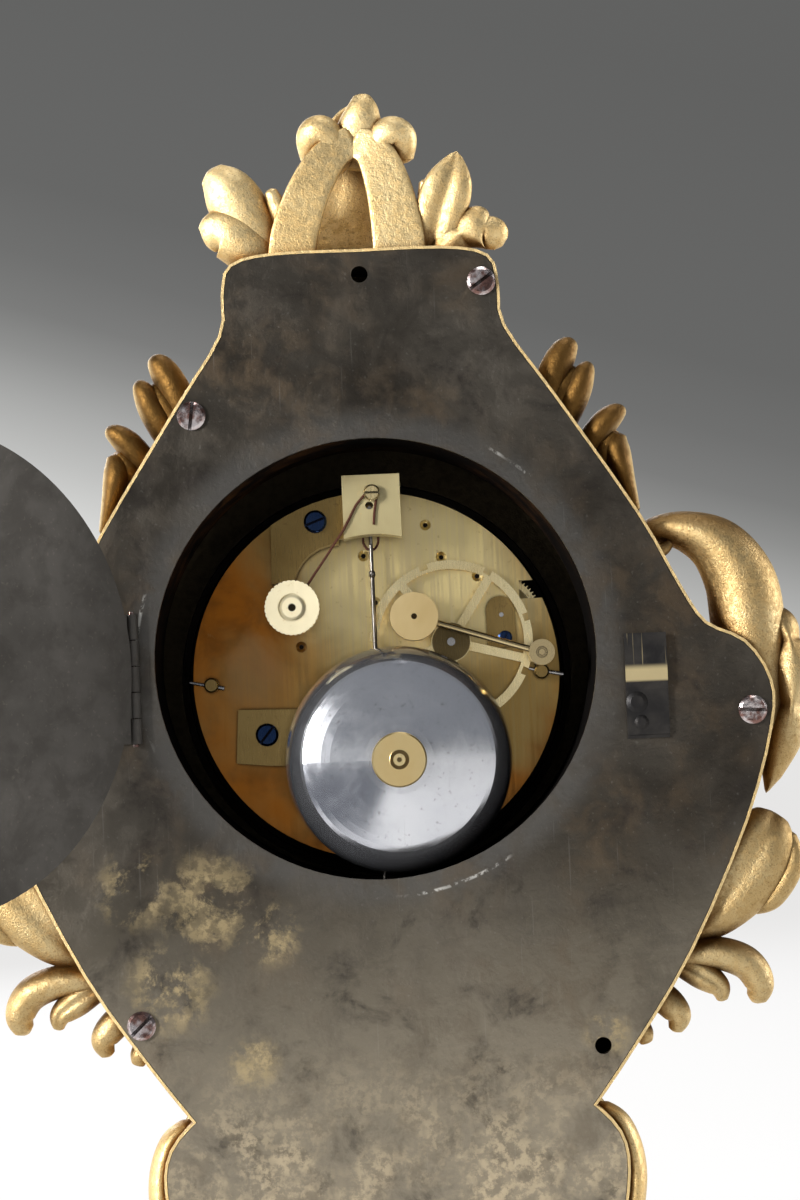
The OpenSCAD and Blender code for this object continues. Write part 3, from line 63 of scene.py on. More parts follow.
# Camera behind the clock, a little below the opening and turned with the photograph's lean.
# A plain long lens: no shift and no depth of field.
CAMERA_AT = np.array([-0.82, 740.6, -22.0]) * MM
CAMERA_PITCH, CAMERA_YAW, CAMERA_ROLL = (math.radians(a) for a in (2.85, -0.48, -2.47))
CAMERA_LENS, SENSOR_W = 84.9, 36.0
camera_data = bpy.data.cameras.new("camera_behind")
camera_data.lens = CAMERA_LENS
camera_data.sensor_width = SENSOR_W
camera = bpy.data.objects.new("camera_behind", camera_data)
aim = Vector((
    math.sin(CAMERA_YAW) * math.cos(CAMERA_PITCH),
    -math.cos(CAMERA_YAW) * math.cos(CAMERA_PITCH),
    math.sin(CAMERA_PITCH),
))
level_right = aim.cross(Vector((0, 0, 1))).normalized()
level_up = level_right.cross(aim)
right = level_right * math.cos(CAMERA_ROLL) + level_up * math.sin(CAMERA_ROLL)
up = level_up * math.cos(CAMERA_ROLL) - level_right * math.sin(CAMERA_ROLL)
camera.matrix_world = Matrix.Translation(Vector(CAMERA_AT)) @ Matrix((right, up, -aim)).transposed().to_4x4()
scene.collection.objects.link(camera)
scene.camera = camera


# Studio: a pale floor under the clock, a grey sweep beyond it that fades to white at the floor, a dim
# room with a window behind the camera, and soft boxes. The camera, metal and glass see these, while
# diffuse light from the surroundings is a plain grey.
def put(tree, kind, sockets=None, **settings):
    """A shader node of that kind; each named input takes a value or is linked to another socket."""
    made = tree.nodes.new("ShaderNode" + kind)
    for name, value in settings.items():
        setattr(made, name, value)
    for name, value in (sockets or {}).items():
        if isinstance(value, bpy.types.NodeSocket):
            tree.links.new(value, made.inputs[name])
        else:
            made.inputs[name].default_value = value
    return made


def maths(tree, operation, first, second=0.5):
    """The value of first (operation) second."""
    return put(tree, "Math", {0: first, 1: second}, operation=operation).outputs[0]


def stepped(tree, value, low, high, out_low=0.0, out_high=1.0):
    """Smooth step of a value from low to high, scaled to the out values."""
    sockets = {"Value": value, "From Min": low, "From Max": high, "To Min": out_low, "To Max": out_high}
    return put(tree, "MapRange", sockets, interpolation_type="SMOOTHSTEP").outputs[0]


def all_of(tree, *masks):
    """The product of several masks."""
    share = masks[0]
    for mask in masks[1:]:
        share = maths(tree, "MULTIPLY", share, mask)
    return share


def tint(tree, share, first, second, blend_type="MIX"):
    """Colour between first and second by share."""
    def full(c):
        return (*c, 1.0) if isinstance(c, tuple) and len(c) == 3 else c
    sockets = {0: share, 6: full(first), 7: full(second)}
    return put(tree, "Mix", sockets, data_type="RGBA", blend_type=blend_type).outputs[2]


def axes(tree, vector):
    """The X, Y and Z of a vector."""
    return put(tree, "SeparateXYZ", {0: vector}).outputs


def ramp(tree, value, stops):
    """Colour read off a value through stops of (place, colour)."""
    made = put(tree, "ValToRGB", {"Fac": value})
    for i, (place, colour) in enumerate(stops):
        stop = made.color_ramp.elements[i] if i < 2 else made.color_ramp.elements.new(place)
        stop.position = place
        stop.color = (*colour, 1.0)
    return made.outputs["Color"]


def seen_rays(tree):
    """1 for the rays that show the surroundings: camera, glossy and transmission rays."""
    path = put(tree, "LightPath")
    shown = maths(tree, "MAXIMUM", path.outputs["Is Camera Ray"], path.outputs["Is Glossy Ray"])
    return maths(tree, "MAXIMUM", shown, path.outputs["Is Transmission Ray"])


# Heights on the sweep are the rise of the ray. Its greys run from the floor line up, and lean to one side
SWEEP_LOW, SWEEP_HIGH, SWEEP_LEAN, LEAN_LIMIT = -0.02, 0.26, 0.30, 0.15
SWEEP_STOPS = [(0.0, 0.93), (0.12, 0.88), (0.22, 0.74), (0.32, 0.52), (0.39, 0.39), (0.45, 0.27), (0.5, 0.20),
               (0.57, 0.16), (0.66, 0.135), (1.0, 0.12)]
SWEEP_CAST = (1.0, 1.005, 0.985)
ROOM, WINDOW, AMBIENT = (0.20, 0.21, 0.23), (2.4, 2.4, 2.4), (0.12, 0.122, 0.128, 1.0)
# The window's soft edges, as slopes of the ray across and up
WINDOW_NEAR, WINDOW_FAR, WINDOW_FOOT, WINDOW_HEAD = (0.40, 0.55), (0.95, 0.80), (-0.08, 0.02), (0.50, 0.36)
world = bpy.data.worlds.new("studio")
scene.world = world
world.use_nodes = True
tree = world.node_tree
tree.nodes.clear()
way = axes(tree, put(tree, "TexCoord").outputs["Generated"])
lean = put(tree, "Clamp", {0: way["X"], 1: -LEAN_LIMIT, 2: LEAN_LIMIT}).outputs[0]
climb = maths(tree, "SUBTRACT", way["Z"], maths(tree, "MULTIPLY", lean, SWEEP_LEAN))
climb = put(tree, "MapRange", {0: climb, 1: SWEEP_LOW, 2: SWEEP_HIGH}).outputs[0]
sweep = ramp(tree, climb, [(place, tuple(grey * c for c in SWEEP_CAST)) for place, grey in SWEEP_STOPS])
in_room = all_of(tree, stepped(tree, way["Y"], 0.1, 0.5), stepped(tree, way["Z"], 0.0, 0.1))
sweep = tint(tree, in_room, sweep, ROOM)
ahead = maths(tree, "MAXIMUM", way["Y"], 0.01)
across = maths(tree, "DIVIDE", way["X"], ahead)
above = maths(tree, "DIVIDE", way["Z"], ahead)
pane = all_of(tree, stepped(tree, across, *WINDOW_NEAR), stepped(tree, across, *WINDOW_FAR),
              stepped(tree, above, *WINDOW_FOOT), stepped(tree, above, *WINDOW_HEAD),
              put(tree, "LightPath").outputs["Is Glossy Ray"])
shown = put(tree, "Background", {"Color": tint(tree, pane, sweep, WINDOW)})
lit = put(tree, "Background", {"Color": AMBIENT})
both = put(tree, "MixShader", {0: seen_rays(tree), 1: lit.outputs[0], 2: shown.outputs[0]})
put(tree, "OutputWorld", {"Surface": both.outputs[0]})

FLOOR_Z = cad_low.z - 0.5 * MM
FLOOR_HALF, FLOOR_GLOW = 30.0, 0.8
FLOOR_PAINT, FLOOR_WHITE, FLOOR_SHADE = (0.80, 0.81, 0.82, 1.0), (0.97, 0.96, 0.95), (0.13, 0.14, 0.165)
# In metal the floor shows its shade beyond these places (m)
SHADE_X, SHADE_Y = (0.06, 0.10), (0.2, 0.4)
floor_mesh = bpy.data.meshes.new("floor")
corners = [(sx * FLOOR_HALF, sy * FLOOR_HALF, FLOOR_Z) for sx, sy in ((-1, -1), (1, -1), (1, 1), (-1, 1))]
floor_mesh.from_pydata(corners, [], [(0, 1, 2, 3)])
floor = bpy.data.objects.new("floor", floor_mesh)
scene.collection.objects.link(floor)
pale_floor = bpy.data.materials.new("pale_floor")
pale_floor.use_nodes = True
tree = pale_floor.node_tree
tree.nodes.clear()
paint = put(tree, "BsdfDiffuse", {"Color": FLOOR_PAINT})
spot = axes(tree, put(tree, "TexCoord").outputs["Object"])
shaded = all_of(tree, stepped(tree, spot["X"], *SHADE_X), stepped(tree, spot["Y"], *SHADE_Y),
                put(tree, "LightPath").outputs["Is Glossy Ray"])
glow = put(tree, "Emission", {"Color": tint(tree, shaded, FLOOR_WHITE, FLOOR_SHADE)})
share = maths(tree, "MAXIMUM", maths(tree, "MULTIPLY", seen_rays(tree), FLOOR_GLOW), shaded)
both = put(tree, "MixShader", {0: share, 1: paint.outputs[0], 2: glow.outputs[0]})
# From below the floor is clear, so that the clock can be seen
below = put(tree, "NewGeometry").outputs["Backfacing"]
clear = put(tree, "BsdfTransparent")
both = put(tree, "MixShader", {0: below, 1: both.outputs[0], 2: clear.outputs[0]})
put(tree, "OutputMaterial", {"Surface": both.outputs[0]})
floor_mesh.materials.append(pale_floor)


CLOCK_MIDDLE = Vector((0.0, -0.03, -0.02))


def soft_box(name, at, width, height, watts, mirrored=True):
    """An area lamp of that size, turned to face the middle of the clock and mirrored in metal or not."""
    lamp = bpy.data.lights.new(name, "AREA")
    lamp.shape, lamp.size, lamp.size_y = "RECTANGLE", width, height
    lamp.energy = watts
    made = bpy.data.objects.new(name, lamp)
    made.location = at
    made.visible_glossy = mirrored
    made.rotation_euler = (CLOCK_MIDDLE - Vector(at)).to_track_quat("-Z", "Y").to_euler()
    scene.collection.objects.link(made)


soft_box("box_left", (1.15, 0.95, 0.32), 0.32, 0.5, 46)
soft_box("card_right", (-0.95, 0.85, -0.05), 0.9, 0.7, 2.4, mirrored=False)
soft_box("box_right_rim", (-1.25, -0.25, 0.25), 0.45, 1.1, 14)
soft_box("box_left_rim", (1.3, -0.45, 0.2), 0.45, 1.0, 9)
soft_box("box_above", (-0.1, -0.1, 1.4), 0.9, 0.6, 9)
soft_box("box_front", (0.5, -1.6, 0.7), 1.2, 0.8, 18)


# Case casting: one hollow bronze casting, gilt, with a rebate at the back round the sheet panel, whose rim is
# painted bright as a highlight. The gilding is matt and grainy, brown in the hollows as dirt and as painted
# shade.
def effect(name, outputs):
    """An empty shader group: its tree, its one input of coordinates, and its value outputs by name."""
    made = bpy.data.node_groups.new(name, "ShaderNodeTree")
    made.interface.new_socket("At", in_out="INPUT", socket_type="NodeSocketVector")
    for label in outputs:
        made.interface.new_socket(label, in_out="OUTPUT", socket_type="NodeSocketFloat")
    return made, made.nodes.new("NodeGroupInput").outputs["At"], made.nodes.new("NodeGroupOutput").inputs


def noise(tree, at, scale, detail=3.0, rough=0.55, twist=0.0):
    """Fractal noise between 0 and 1 on those coordinates, with that many patches to the metre."""
    sockets = {"Vector": at, "Scale": scale, "Detail": detail, "Roughness": rough, "Distortion": twist}
    return put(tree, "TexNoise", sockets).outputs[0]


def between(tree, mask, low, high):
    """A value that goes smoothly from low to high as a mask goes from 0 to 1."""
    return stepped(tree, mask, 0.0, 1.0, low, high)


def stretched(tree, at, by, turn=(0.0, 0.0, 0.0)):
    """Coordinates turned and then scaled along each axis, for a grain with a direction."""
    return put(tree, "Mapping", {"Vector": at, "Scale": by, "Rotation": turn}).outputs[0]


def use(tree, group, at):
    """The outputs of a shader group that is placed in a material on those coordinates."""
    made = tree.nodes.new("ShaderNodeGroup")
    made.node_tree = group
    tree.links.new(at, made.inputs["At"])
    return made.outputs


def finish(name, **constants):
    """A new material: its tree, its Principled shader with those constants set, and Object coordinates."""
    made = bpy.data.materials.new(name)
    made.use_nodes = True
    tree = made.node_tree
    tree.nodes.clear()
    shader = put(tree, "BsdfPrincipled", {k.replace("_", " "): v for k, v in constants.items()})
    put(tree, "OutputMaterial", {"Surface": shader.outputs[0]})
    return made, tree, shader, put(tree, "TexCoord").outputs["Object"]


def feed(tree, shader, colour=None, roughness=None, height=None, depth=0.1, strength=0.5):
    """Links colour, roughness and a bump (height 0 to 1 over depth mm) to the Principled shader."""
    if colour is not None:
        tree.links.new(colour, shader.inputs["Base Color"])
    if roughness is not None:
        tree.links.new(roughness, shader.inputs["Roughness"])
    if height is not None:
        bump = put(tree, "Bump", {"Height": height, "Distance": depth * MM, "Strength": strength})
        tree.links.new(bump.outputs[0], shader.inputs["Normal"])


def openness(tree, reach):
    """How open a place is: 1 on open faces, less in slots, sinks and hollows narrower than reach."""
    return put(tree, "AmbientOcclusion", {"Distance": reach}, samples=6).outputs["AO"]


def dress(material, *names):
    """Puts the material on those CAD nodes."""
    for name in names:
        nodes[name].data.materials.clear()
        nodes[name].data.materials.append(material)


# Grain of matt gilding: fine pits, a coarser mottle and broad rubbed clouds.
PITS_PER_M, MOTTLES_PER_M, CLOUDS_PER_M = 2300.0, 644.0, 42.0
gilt_grain, told, gives = effect("gilt_grain", ["Pits", "Mottle", "Cloud", "Height"])
t = gilt_grain
fine = noise(t, told, PITS_PER_M, 2.0, 0.6)
coarse = noise(t, told, MOTTLES_PER_M, 3.0, 0.6)
t.links.new(stepped(t, fine, 0.56, 0.66), gives["Pits"])
t.links.new(stepped(t, coarse, 0.38, 0.66), gives["Mottle"])
t.links.new(stepped(t, noise(t, told, CLOUDS_PER_M, 4.0, 0.6, 0.4), 0.30, 0.72), gives["Cloud"])
relief = maths(t, "ADD", all_of(t, fine, 0.6), all_of(t, coarse, 0.8))
t.links.new(relief, gives["Height"])

GILT_BRIGHT, GILT_WARM = (0.80, 0.63, 0.335), (0.58, 0.39, 0.155)
GILT_BROWN, GILT_PIT = (0.21, 0.105, 0.03), (0.13, 0.07, 0.025)
GILT_SHADE, GILT_HIGHLIGHT = (0.12, 0.063, 0.017), (0.66, 0.49, 0.24)
CASE_INSIDE_SHADE = (0.06, 0.046, 0.027)
case_low, case_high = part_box("case_shell")
# Below this height what lies inward is told from the middle of the lobe, and above it from the dial's axis
WAIST_Z = -106 * MM
LOBE_MIDDLE_Z = (case_low.z + WAIST_Z) / 2


def gilding(name, inside=False, back_shade=0.0, top_shade=0.0):
    """Matt gilding, brown in the hollows as dirt and as painted shade, and painted brown as shade by one
    share on what faces the back and by another on what faces up. With inside, what faces the case's middle is
    painted near black as shade and the rear rim is painted bright as a highlight."""
    made, t, shader, at = finish(name, Metallic=1.0)
    grain = use(t, gilt_grain, at)
    # Brown in the hollows: dirt together with painted shade
    open_share = stepped(t, openness(t, 9 * MM), 0.35, 0.95)
    colour = tint(t, between(t, grain["Cloud"], 0.35, 1.0), GILT_WARM, GILT_BRIGHT)
    colour = tint(t, all_of(t, grain["Mottle"], 0.35), colour, GILT_WARM)
    colour = tint(t, open_share, GILT_BROWN, colour)
    facing = axes(t, put(t, "NewGeometry").outputs["Normal"])
    # Painted shade: faces turned to the back and faces turned up are browned
    colour = tint(t, stepped(t, facing["Y"], 0.0, 0.75, 0.0, back_shade), colour, GILT_SHADE)
    colour = tint(t, stepped(t, facing["Z"], 0.1, 0.8, 0.0, top_shade), colour, GILT_SHADE)
    colour = tint(t, all_of(t, grain["Pits"], 0.45), colour, GILT_PIT)
    if inside:
        spot = axes(t, at)
        lobe_z = maths(t, "MULTIPLY", maths(t, "LESS_THAN", spot["Z"], WAIST_Z), LOBE_MIDDLE_Z)
        middle = {"X": 0.0, "Y": (case_low.y + case_high.y) / 2, "Z": lobe_z}
        outward = 0.0
        for axis in "XYZ":
            side = maths(t, "SIGN", maths(t, "SUBTRACT", spot[axis], middle[axis]))
            outward = maths(t, "ADD", outward, maths(t, "MULTIPLY", side, facing[axis]))
        # Painted shade: what faces the case's middle is near black
        colour = tint(t, stepped(t, outward, -0.3, -0.05), CASE_INSIDE_SHADE, colour)
        # Painted highlight: the rear rim that faces the back is bright
        rim_highlight = all_of(t, stepped(t, facing["Y"], 0.5, 0.9), stepped(t, spot["Y"], -1.6 * MM, -0.8 * MM),
                      between(t, grain["Mottle"], 1.0, 0.4))
        colour = tint(t, rim_highlight, colour, GILT_HIGHLIGHT)
    rough = between(t, grain["Mottle"], 0.48, 0.64)
    feed(t, shader, colour, rough, grain["Height"], depth=0.35, strength=0.6)
    return made


gilt = gilding("matt_gilding", top_shade=0.3)
gilt_shaded = gilding("shaded_gilding", back_shade=0.38, top_shade=0.85)
gilt_deep_shaded = gilding("deep_shaded_gilding", back_shade=1.0, top_shade=0.9)
case_gilt = gilding("case_gilding", inside=True)
dress(case_gilt, "case_shell")


# Cast ornament: gilt bronze leaves and horns, cast and chased one by one and pinned to the case.
# Each is a spine with a rounded section round it, swelling and thinning, its edges cut into lobes.
# END_SHARE is the share of the length in which an end closes, and RIB_SHARE that of the width under a rib.
END_SHARE, RIB_SHARE = 0.06, 0.22


def curve(points, n):
    """n places on the smooth (Catmull-Rom) curve through the points, evenly spaced in its parameter."""
    p = np.asarray(points, float)
    p = p.reshape(len(p), -1)
    ends = np.vstack([2 * p[:1] - p[1:2], p, 2 * p[-1:] - p[-2:-1]])
    t = np.linspace(0.0, len(p) - 1.0, n)
    i = np.minimum(t.astype(int), len(p) - 2)
    f = (t - i)[:, None]
    a, b, c, d = (ends[i + k] for k in range(4))
    return 0.5 * (2 * b + (c - a) * f + (2 * a - 5 * b + 4 * c - d) * f**2 + (3 * b - a - 3 * c + d) * f**3)


def unit(v):
    """The vectors at length one."""
    return v / np.maximum(np.linalg.norm(v, axis=-1, keepdims=True), 1e-9)


def blade(points, widths, thick, lobes=0.0, notch=0.3, sweep=0.0, vein=0.35, cup=0.0, ridge=0.0, square=1.0,
          n=84, m=36):
    """Rings of a leaf or horn: along a spine (mm), the section is an ellipse of half width w(u) across
    and half thickness thick(u) towards the back. Lobes are |sin| waves in the width with sharp notches,
    swept towards the tip; a groove runs in from each notch; cup bends both edges to the front by the
    square of the distance across; ridge lifts a rib along the spine; a square power under 1 flattens the
    section towards a bar with rounded corners."""
    u = np.linspace(0.0, 1.0, n)[:, None]
    spine = curve(points, n)
    along = unit(np.gradient(spine, axis=0))
    back = unit(np.array([0.0, 1.0, 0.0]) - along * along[:, 1:2])
    across = np.cross(along, back)
    w = np.maximum(curve(widths, n), 0.02)
    th = np.maximum(curve(thick, n), 0.02)
    close = np.sqrt(np.clip(np.minimum(u, 1 - u) / END_SHARE, 0.0, 1.0))
    angle = np.linspace(0.0, 2 * np.pi, m, endpoint=False)[None, :]
    c, s = (np.sign(v) * np.abs(v) ** square for v in (np.cos(angle), np.sin(angle)))
    lobing = np.abs(np.sin(np.pi * lobes * u)) ** 0.7 if lobes else np.ones_like(u)
    side = w * close * (1 - notch * (1 - lobing)) * c
    lift = th * close * np.sign(s) * np.abs(s) ** 0.85 * (1 - vein * (1 - lobing) * np.abs(c) ** 0.7)
    lift = lift - cup * w * close * c**2 + ridge * th * close * np.exp(-((c / RIB_SHARE) ** 2)) * np.sign(s)
    slide = sweep * w * close * c**2 * lobing
    return (spine[:, None, :] + across[:, None, :] * side[..., None] + back[:, None, :] * lift[..., None]
            + along[:, None, :] * slide[..., None])


def both_sides(*forms):
    """Each form and its mirror image, whose rings are wound back so that its faces still point outwards."""
    return [rings for form in forms for rings in (form, (form * np.array([-1.0, 1.0, 1.0]))[:, ::-1])]


def add_piece(name, points, faces, material, smooth):
    """A mesh object in the scene from points (m) and faces, smooth or faceted."""
    mesh = bpy.data.meshes.new(name)
    mesh.from_pydata(points.tolist(), [], faces)
    mesh.polygons.foreach_set("use_smooth", np.full(len(mesh.polygons), smooth))
    mesh.materials.append(material)
    made = bpy.data.objects.new(name, mesh)
    scene.collection.objects.link(made)
    return made


def cast(name, forms, material, smooth=True):
    """One closed piece on the case from rings of points in mm: quads between rings, a fan at each end."""
    points, faces = [], []
    start = 0
    for rings in forms:
        n, m = rings.shape[:2]
        grid = start + np.arange(n * m).reshape(n, m)
        nxt = np.roll(grid, -1, axis=1)
        quads = np.stack([grid[:-1], nxt[:-1], nxt[1:], grid[1:]], -1).reshape(-1, 4)
        tail, tip = start + n * m, start + n * m + 1
        tail_fan = np.stack([nxt[0], grid[0], np.full(m, tail)], -1)
        tip_fan = np.stack([grid[-1], nxt[-1], np.full(m, tip)], -1)
        points += [rings.reshape(-1, 3), rings[0].mean(0)[None], rings[-1].mean(0)[None]]
        faces += quads.tolist() + tail_fan.tolist() + tip_fan.tolist()
        start += n * m + 2
    made = add_piece(name, np.concatenate(points) * MM, faces, material, smooth)
    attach(made, "case")
    return made


# Waist of the case: strips to each side close the casting's wall in the fold between body and lobe, where
# the rounded front draws in. They lie on the wall's own outline, scaled like the rings of the front, and
# their sizes are in mm.
SIDE_D, FRONT_D, FRONT_DRAW, FRONT_MIDDLE_Z = 62.0, 16.0, 0.14, -42.0
FRONT_TURNS = (0.0, 22.5, 45.0, 67.5)
STRIP_LIFT, STRIP_WALL, STRIP_START = 0.12, 1.2, 5.0
FOLD_TOP_Z, FOLD_FOOT_Z = -99.0, -122.0
shell = nodes["case_shell"]
case_at = np.empty(3 * len(shell.data.vertices), np.float32)
shell.data.vertices.foreach_get("co", case_at)
placed = np.array(shell.matrix_world)
case_at = (case_at.reshape(-1, 3) @ placed[:3, :3].T + placed[:3, 3]) / MM
case_at = np.unique(case_at.round(2), axis=0)
front = case_at[(np.abs(case_at[:, 1] + SIDE_D + FRONT_D) < 0.1) & (case_at[:, 0] > 0.0)]
fold = front[(front[:, 2] < FOLD_TOP_Z) & (front[:, 2] > FOLD_FOOT_Z)]
fold = fold[np.argsort(-fold[:, 2])][:, [0, 2]] - [0.0, FRONT_MIDDLE_Z]
fold = fold / (1.0 - FRONT_DRAW)
deepest = int(np.argmin(fold[:, 0]))
strips = []
for wall in (fold[:deepest + 1], fold[deepest:]):
    run = np.gradient(wall, axis=0)
    outward = unit(np.stack([-run[:, 1], run[:, 0]], -1))
    section = np.concatenate([wall - STRIP_WALL * outward, (wall + STRIP_LIFT * outward)[::-1]])
    rings = []
    for back, angle in [(STRIP_START, 0.0)] + [(0.0, angle) for angle in FRONT_TURNS]:
        turn = np.radians(angle)
        scaled = section * (1.0 - FRONT_DRAW * (1.0 - np.cos(turn)))
        depth = np.full(len(section), back - SIDE_D - FRONT_D * np.sin(turn))
        rings.append(np.stack([scaled[:, 0], depth, FRONT_MIDDLE_Z + scaled[:, 1]], -1))
    strips += both_sides(np.array(rings))
cast("waist_strips", strips, case_gilt, smooth=False)


# Crown: two flat straps that meet in the hanging arch, a hollow shell in front of them, a curled
# leaf on top and a spray of leaves to each side.
crown_forms = [
    blade([[2, -24, 102], [2, -25, 118], [0, -24, 134], [-2, -21, 145], [-5, -17, 149]],
          [17, 16, 12, 8, 2], [3, 3.4, 3.4, 3, 1], cup=-0.42, ridge=0.3),
    blade([[0, -16, 132], [-1.5, -12, 141], [-2.6, -11, 147], [-2.6, -12, 151.5]],
          [8, 6.5, 4.6, 2], [4.5, 4.5, 4, 2]),
    blade([[-4, -13, 131], [-8.5, -10, 139.5], [-12.5, -10, 139], [-13, -12, 132.5]],
          [3.6, 4.6, 4.4, 2.6], [4, 4.6, 4.2, 2.4]),
    blade([[3, -13, 131], [7.5, -10, 140.5], [11, -10, 140], [11.5, -12, 133]],
          [3.6, 4.6, 4.4, 2.6], [4, 4.6, 4.2, 2.4]),
    blade([[18, -4, 104], [16.5, -4.5, 114], [12, -6, 126], [6, -8, 135], [-1, -9, 139]],
          [6.4, 6.2, 5.6, 4.8, 4], [1.6, 1.6, 1.8, 2, 1.5], square=0.3),
    blade([[-11, -4, 104], [-10.5, -4.5, 114], [-8.5, -6, 126], [-5, -8, 135], [1, -9, 139]],
          [7.2, 6.8, 6, 5, 4], [1.6, 1.6, 1.8, 2, 1.5], square=0.3),
    blade([[-18, -12, 104], [-21.5, -9, 116], [-25, -7, 126], [-27.4, -8, 134.5]],
          [6, 7, 6.2, 0.8], [5, 5.5, 4, 1.2], cup=-0.25, ridge=-0.25),
    blade([[-20, -11, 106], [-28, -8, 112], [-34, -7, 113], [-38.5, -8, 108.5]],
          [5, 6, 5.4, 2], [5, 5, 4, 1.5], lobes=3.0, notch=0.35, sweep=0.3),
    blade([[-16.5, -9, 108], [-18.5, -6.5, 119], [-18.6, -6, 127]], [3, 2.8, 1.6], [3, 2.6, 1.4]),
    blade([[20, -12, 104], [28, -9, 116], [34, -7, 126], [39, -8, 132]],
          [6, 7.6, 7, 3], [5, 5.5, 4.6, 2], cup=0.15),
    blade([[22, -11, 104], [30, -8, 111], [36, -7, 115], [41, -8, 113]],
          [6, 6.6, 6.4, 3.4], [5, 5.4, 4.6, 2.2]),
    blade([[15, -9, 108], [20, -6.5, 119], [23, -6, 126]], [3, 2.8, 1.6], [3, 2.6, 1.4]),
]
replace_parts(cast("crown_spray", crown_forms, gilt), "crown")


# Shoulder leaves: a broad leaf of two round lobes above and a smaller one below, whose tail runs down
# along the case. They are pitted, and painted brown as shade where they face the back and upwards.
shoulder_forms = both_sides(
    blade([[45.5, -13, 63], [48.5, -10, 69], [51, -9, 75], [53.6, -9, 79.6], [55.8, -10.5, 82]],
          [4.2, 4.4, 4.2, 3.6, 1.8], [6, 6.5, 6.2, 5, 2.4]),
    blade([[51, -13, 60], [54, -10, 64.5], [56.6, -8.5, 69], [58.4, -8, 73], [59.8, -9.5, 75.6]],
          [4.4, 4.2, 3.8, 3, 1.4], [6, 6.5, 6, 4.8, 2]),
    blade([[48, -12, 62], [51.5, -10.5, 67], [54.6, -10, 72], [56, -11, 75]],
          [4.4, 4.6, 3.8, 1.4], [6, 6.5, 5.4, 2.4]),
    blade([[56.5, -13, 52], [60, -10, 56], [63, -8.5, 59.6], [65.8, -8, 62], [68, -9.5, 63.2]],
          [3.2, 3.6, 3.6, 3, 1.2], [5.5, 6, 6, 4.8, 2]),
    blade([[71, -11, 35.5], [68.4, -9.5, 44], [66.4, -8.5, 52], [66.6, -8.5, 57.4]],
          [1.2, 2.6, 3.6, 2.2], [4, 5.4, 6, 3]),
    blade([[62, -12, 50], [64, -10, 54], [66.5, -9, 58]], [3.4, 3.6, 2.6], [5, 5.6, 4]),
)
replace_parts(cast("shoulder_foliage", shoulder_forms, gilt_deep_shaded), "shoulder_leaves")


# Side scrolls: a fat horn that swells out of the cheek and curls in to a thin tip at the shoulder,
# with a nib at the tip and a lobed leaf down its outer side.
scroll_forms = both_sides(
    blade([[70.5, -12, 27.5], [75.5, -12, 31], [84, -12.5, 30.6], [92.5, -13, 26], [98, -13.5, 17],
           [99.6, -14, 6], [100, -14, -6], [100.5, -13, -20], [97, -12, -34]],
          [2.6, 3.6, 5.4, 7.8, 9.4, 9.8, 9, 7, 3], [4, 6, 9, 11, 12, 12.5, 12, 9, 4], n=120, m=48),
    blade([[72, -8, 27], [76.5, -7.5, 25.6], [79.5, -8, 27.6]], [1.8, 2, 1.2], [2, 2, 1.2]),
    blade([[103, -14, 8], [108.5, -12, 3], [110, -11, -8], [108, -11, -22], [102, -12, -40]],
          [3, 5, 6, 6, 2], [5, 7, 8, 7, 3], lobes=3.0, notch=0.4, sweep=-0.2),
)
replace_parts(cast("side_horns", scroll_forms, gilt_shaded), "side_scrolls")


# Lower leaves: a broad hollow leaf on each side, low on the body, with a turned-over lip at its outer
# edge, cast in one with it.
lower_forms = both_sides(
    blade([[78, -12, -76], [86, -10, -69], [94, -9, -60], [100, -9, -51], [103.5, -11, -45]],
          [4, 8.5, 10.6, 9, 3.5], [6, 8, 8, 7, 3], cup=-0.14, ridge=-0.12, n=110, m=44),
    blade([[96, -9, -70], [102, -7, -67], [107.5, -6.5, -58.5], [107, -8, -50]],
          [2, 3, 2.8, 1.6], [2.5, 3.4, 3, 2]),
)
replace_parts(cast("cheek_leaves", lower_forms, gilt_shaded), "lower_leaves")


# Lower scrolls: a horn on each side that hooks over and down at the waist, with short curled lobes under
# it, cast and gilt like the leaves above.
hook_forms = both_sides(
    blade([[72, -10, -81], [80, -9, -81], [88, -8.5, -81.6], [94.5, -8.5, -84.6], [97.4, -9, -90],
           [96, -10, -95]],
          [3, 4, 4.4, 4.4, 3.8, 2.2], [6, 6.5, 6.5, 6, 5, 2.6], n=96),
    blade([[76, -9, -83], [82, -8, -86.5], [86.5, -8, -90], [87.5, -9, -94]],
          [3.4, 4, 3, 1.2], [5, 5, 4, 1.6], ridge=-0.15),
    blade([[67, -10, -89], [72, -8, -92.5], [75.5, -8, -97], [74.5, -9, -101.5]],
          [3, 4, 3.4, 1.6], [5, 5, 4.4, 2]),
    blade([[61, -10, -98], [65.5, -8, -100.5], [67, -8.5, -104]], [3, 3, 1.6], [4, 4, 2]),
)
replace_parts(cast("hooked_scrolls", hook_forms, gilt_shaded), "lower_scrolls")


# Base: slim horns down both sides of the lobe, lobed leaves beneath them, and a long drop leaf in the
# middle that ends the clock in a point.
drop_leaf = blade([[0, -12, -184], [0, -11, -198], [0, -11, -212], [0, -13, -223.6]],
                  [16, 14, 10, 1.5], [8, 9, 7, 2],
                  lobes=4.0, notch=0.34, sweep=0.35, ridge=0.25, n=120, m=44)
base_forms = both_sides(
    blade([[53, -10, -119], [59.5, -9, -125], [62, -9, -137], [59, -9, -152], [51, -9, -166],
           [42, -10, -178]],
          [1.6, 2.8, 3.4, 3.6, 4, 2], [5, 7, 8, 8, 8, 4], n=110),
    blade([[58, -12, -160], [56, -10, -170], [49, -9, -181], [38, -10, -190], [26, -12, -194]],
          [3, 6, 8, 7, 2], [6, 8, 8, 7, 3], lobes=4.0, notch=0.36, sweep=0.3, ridge=0.2, n=110),
)
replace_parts(cast("base_foliage", [drop_leaf] + base_forms, gilt), "base_leaf")


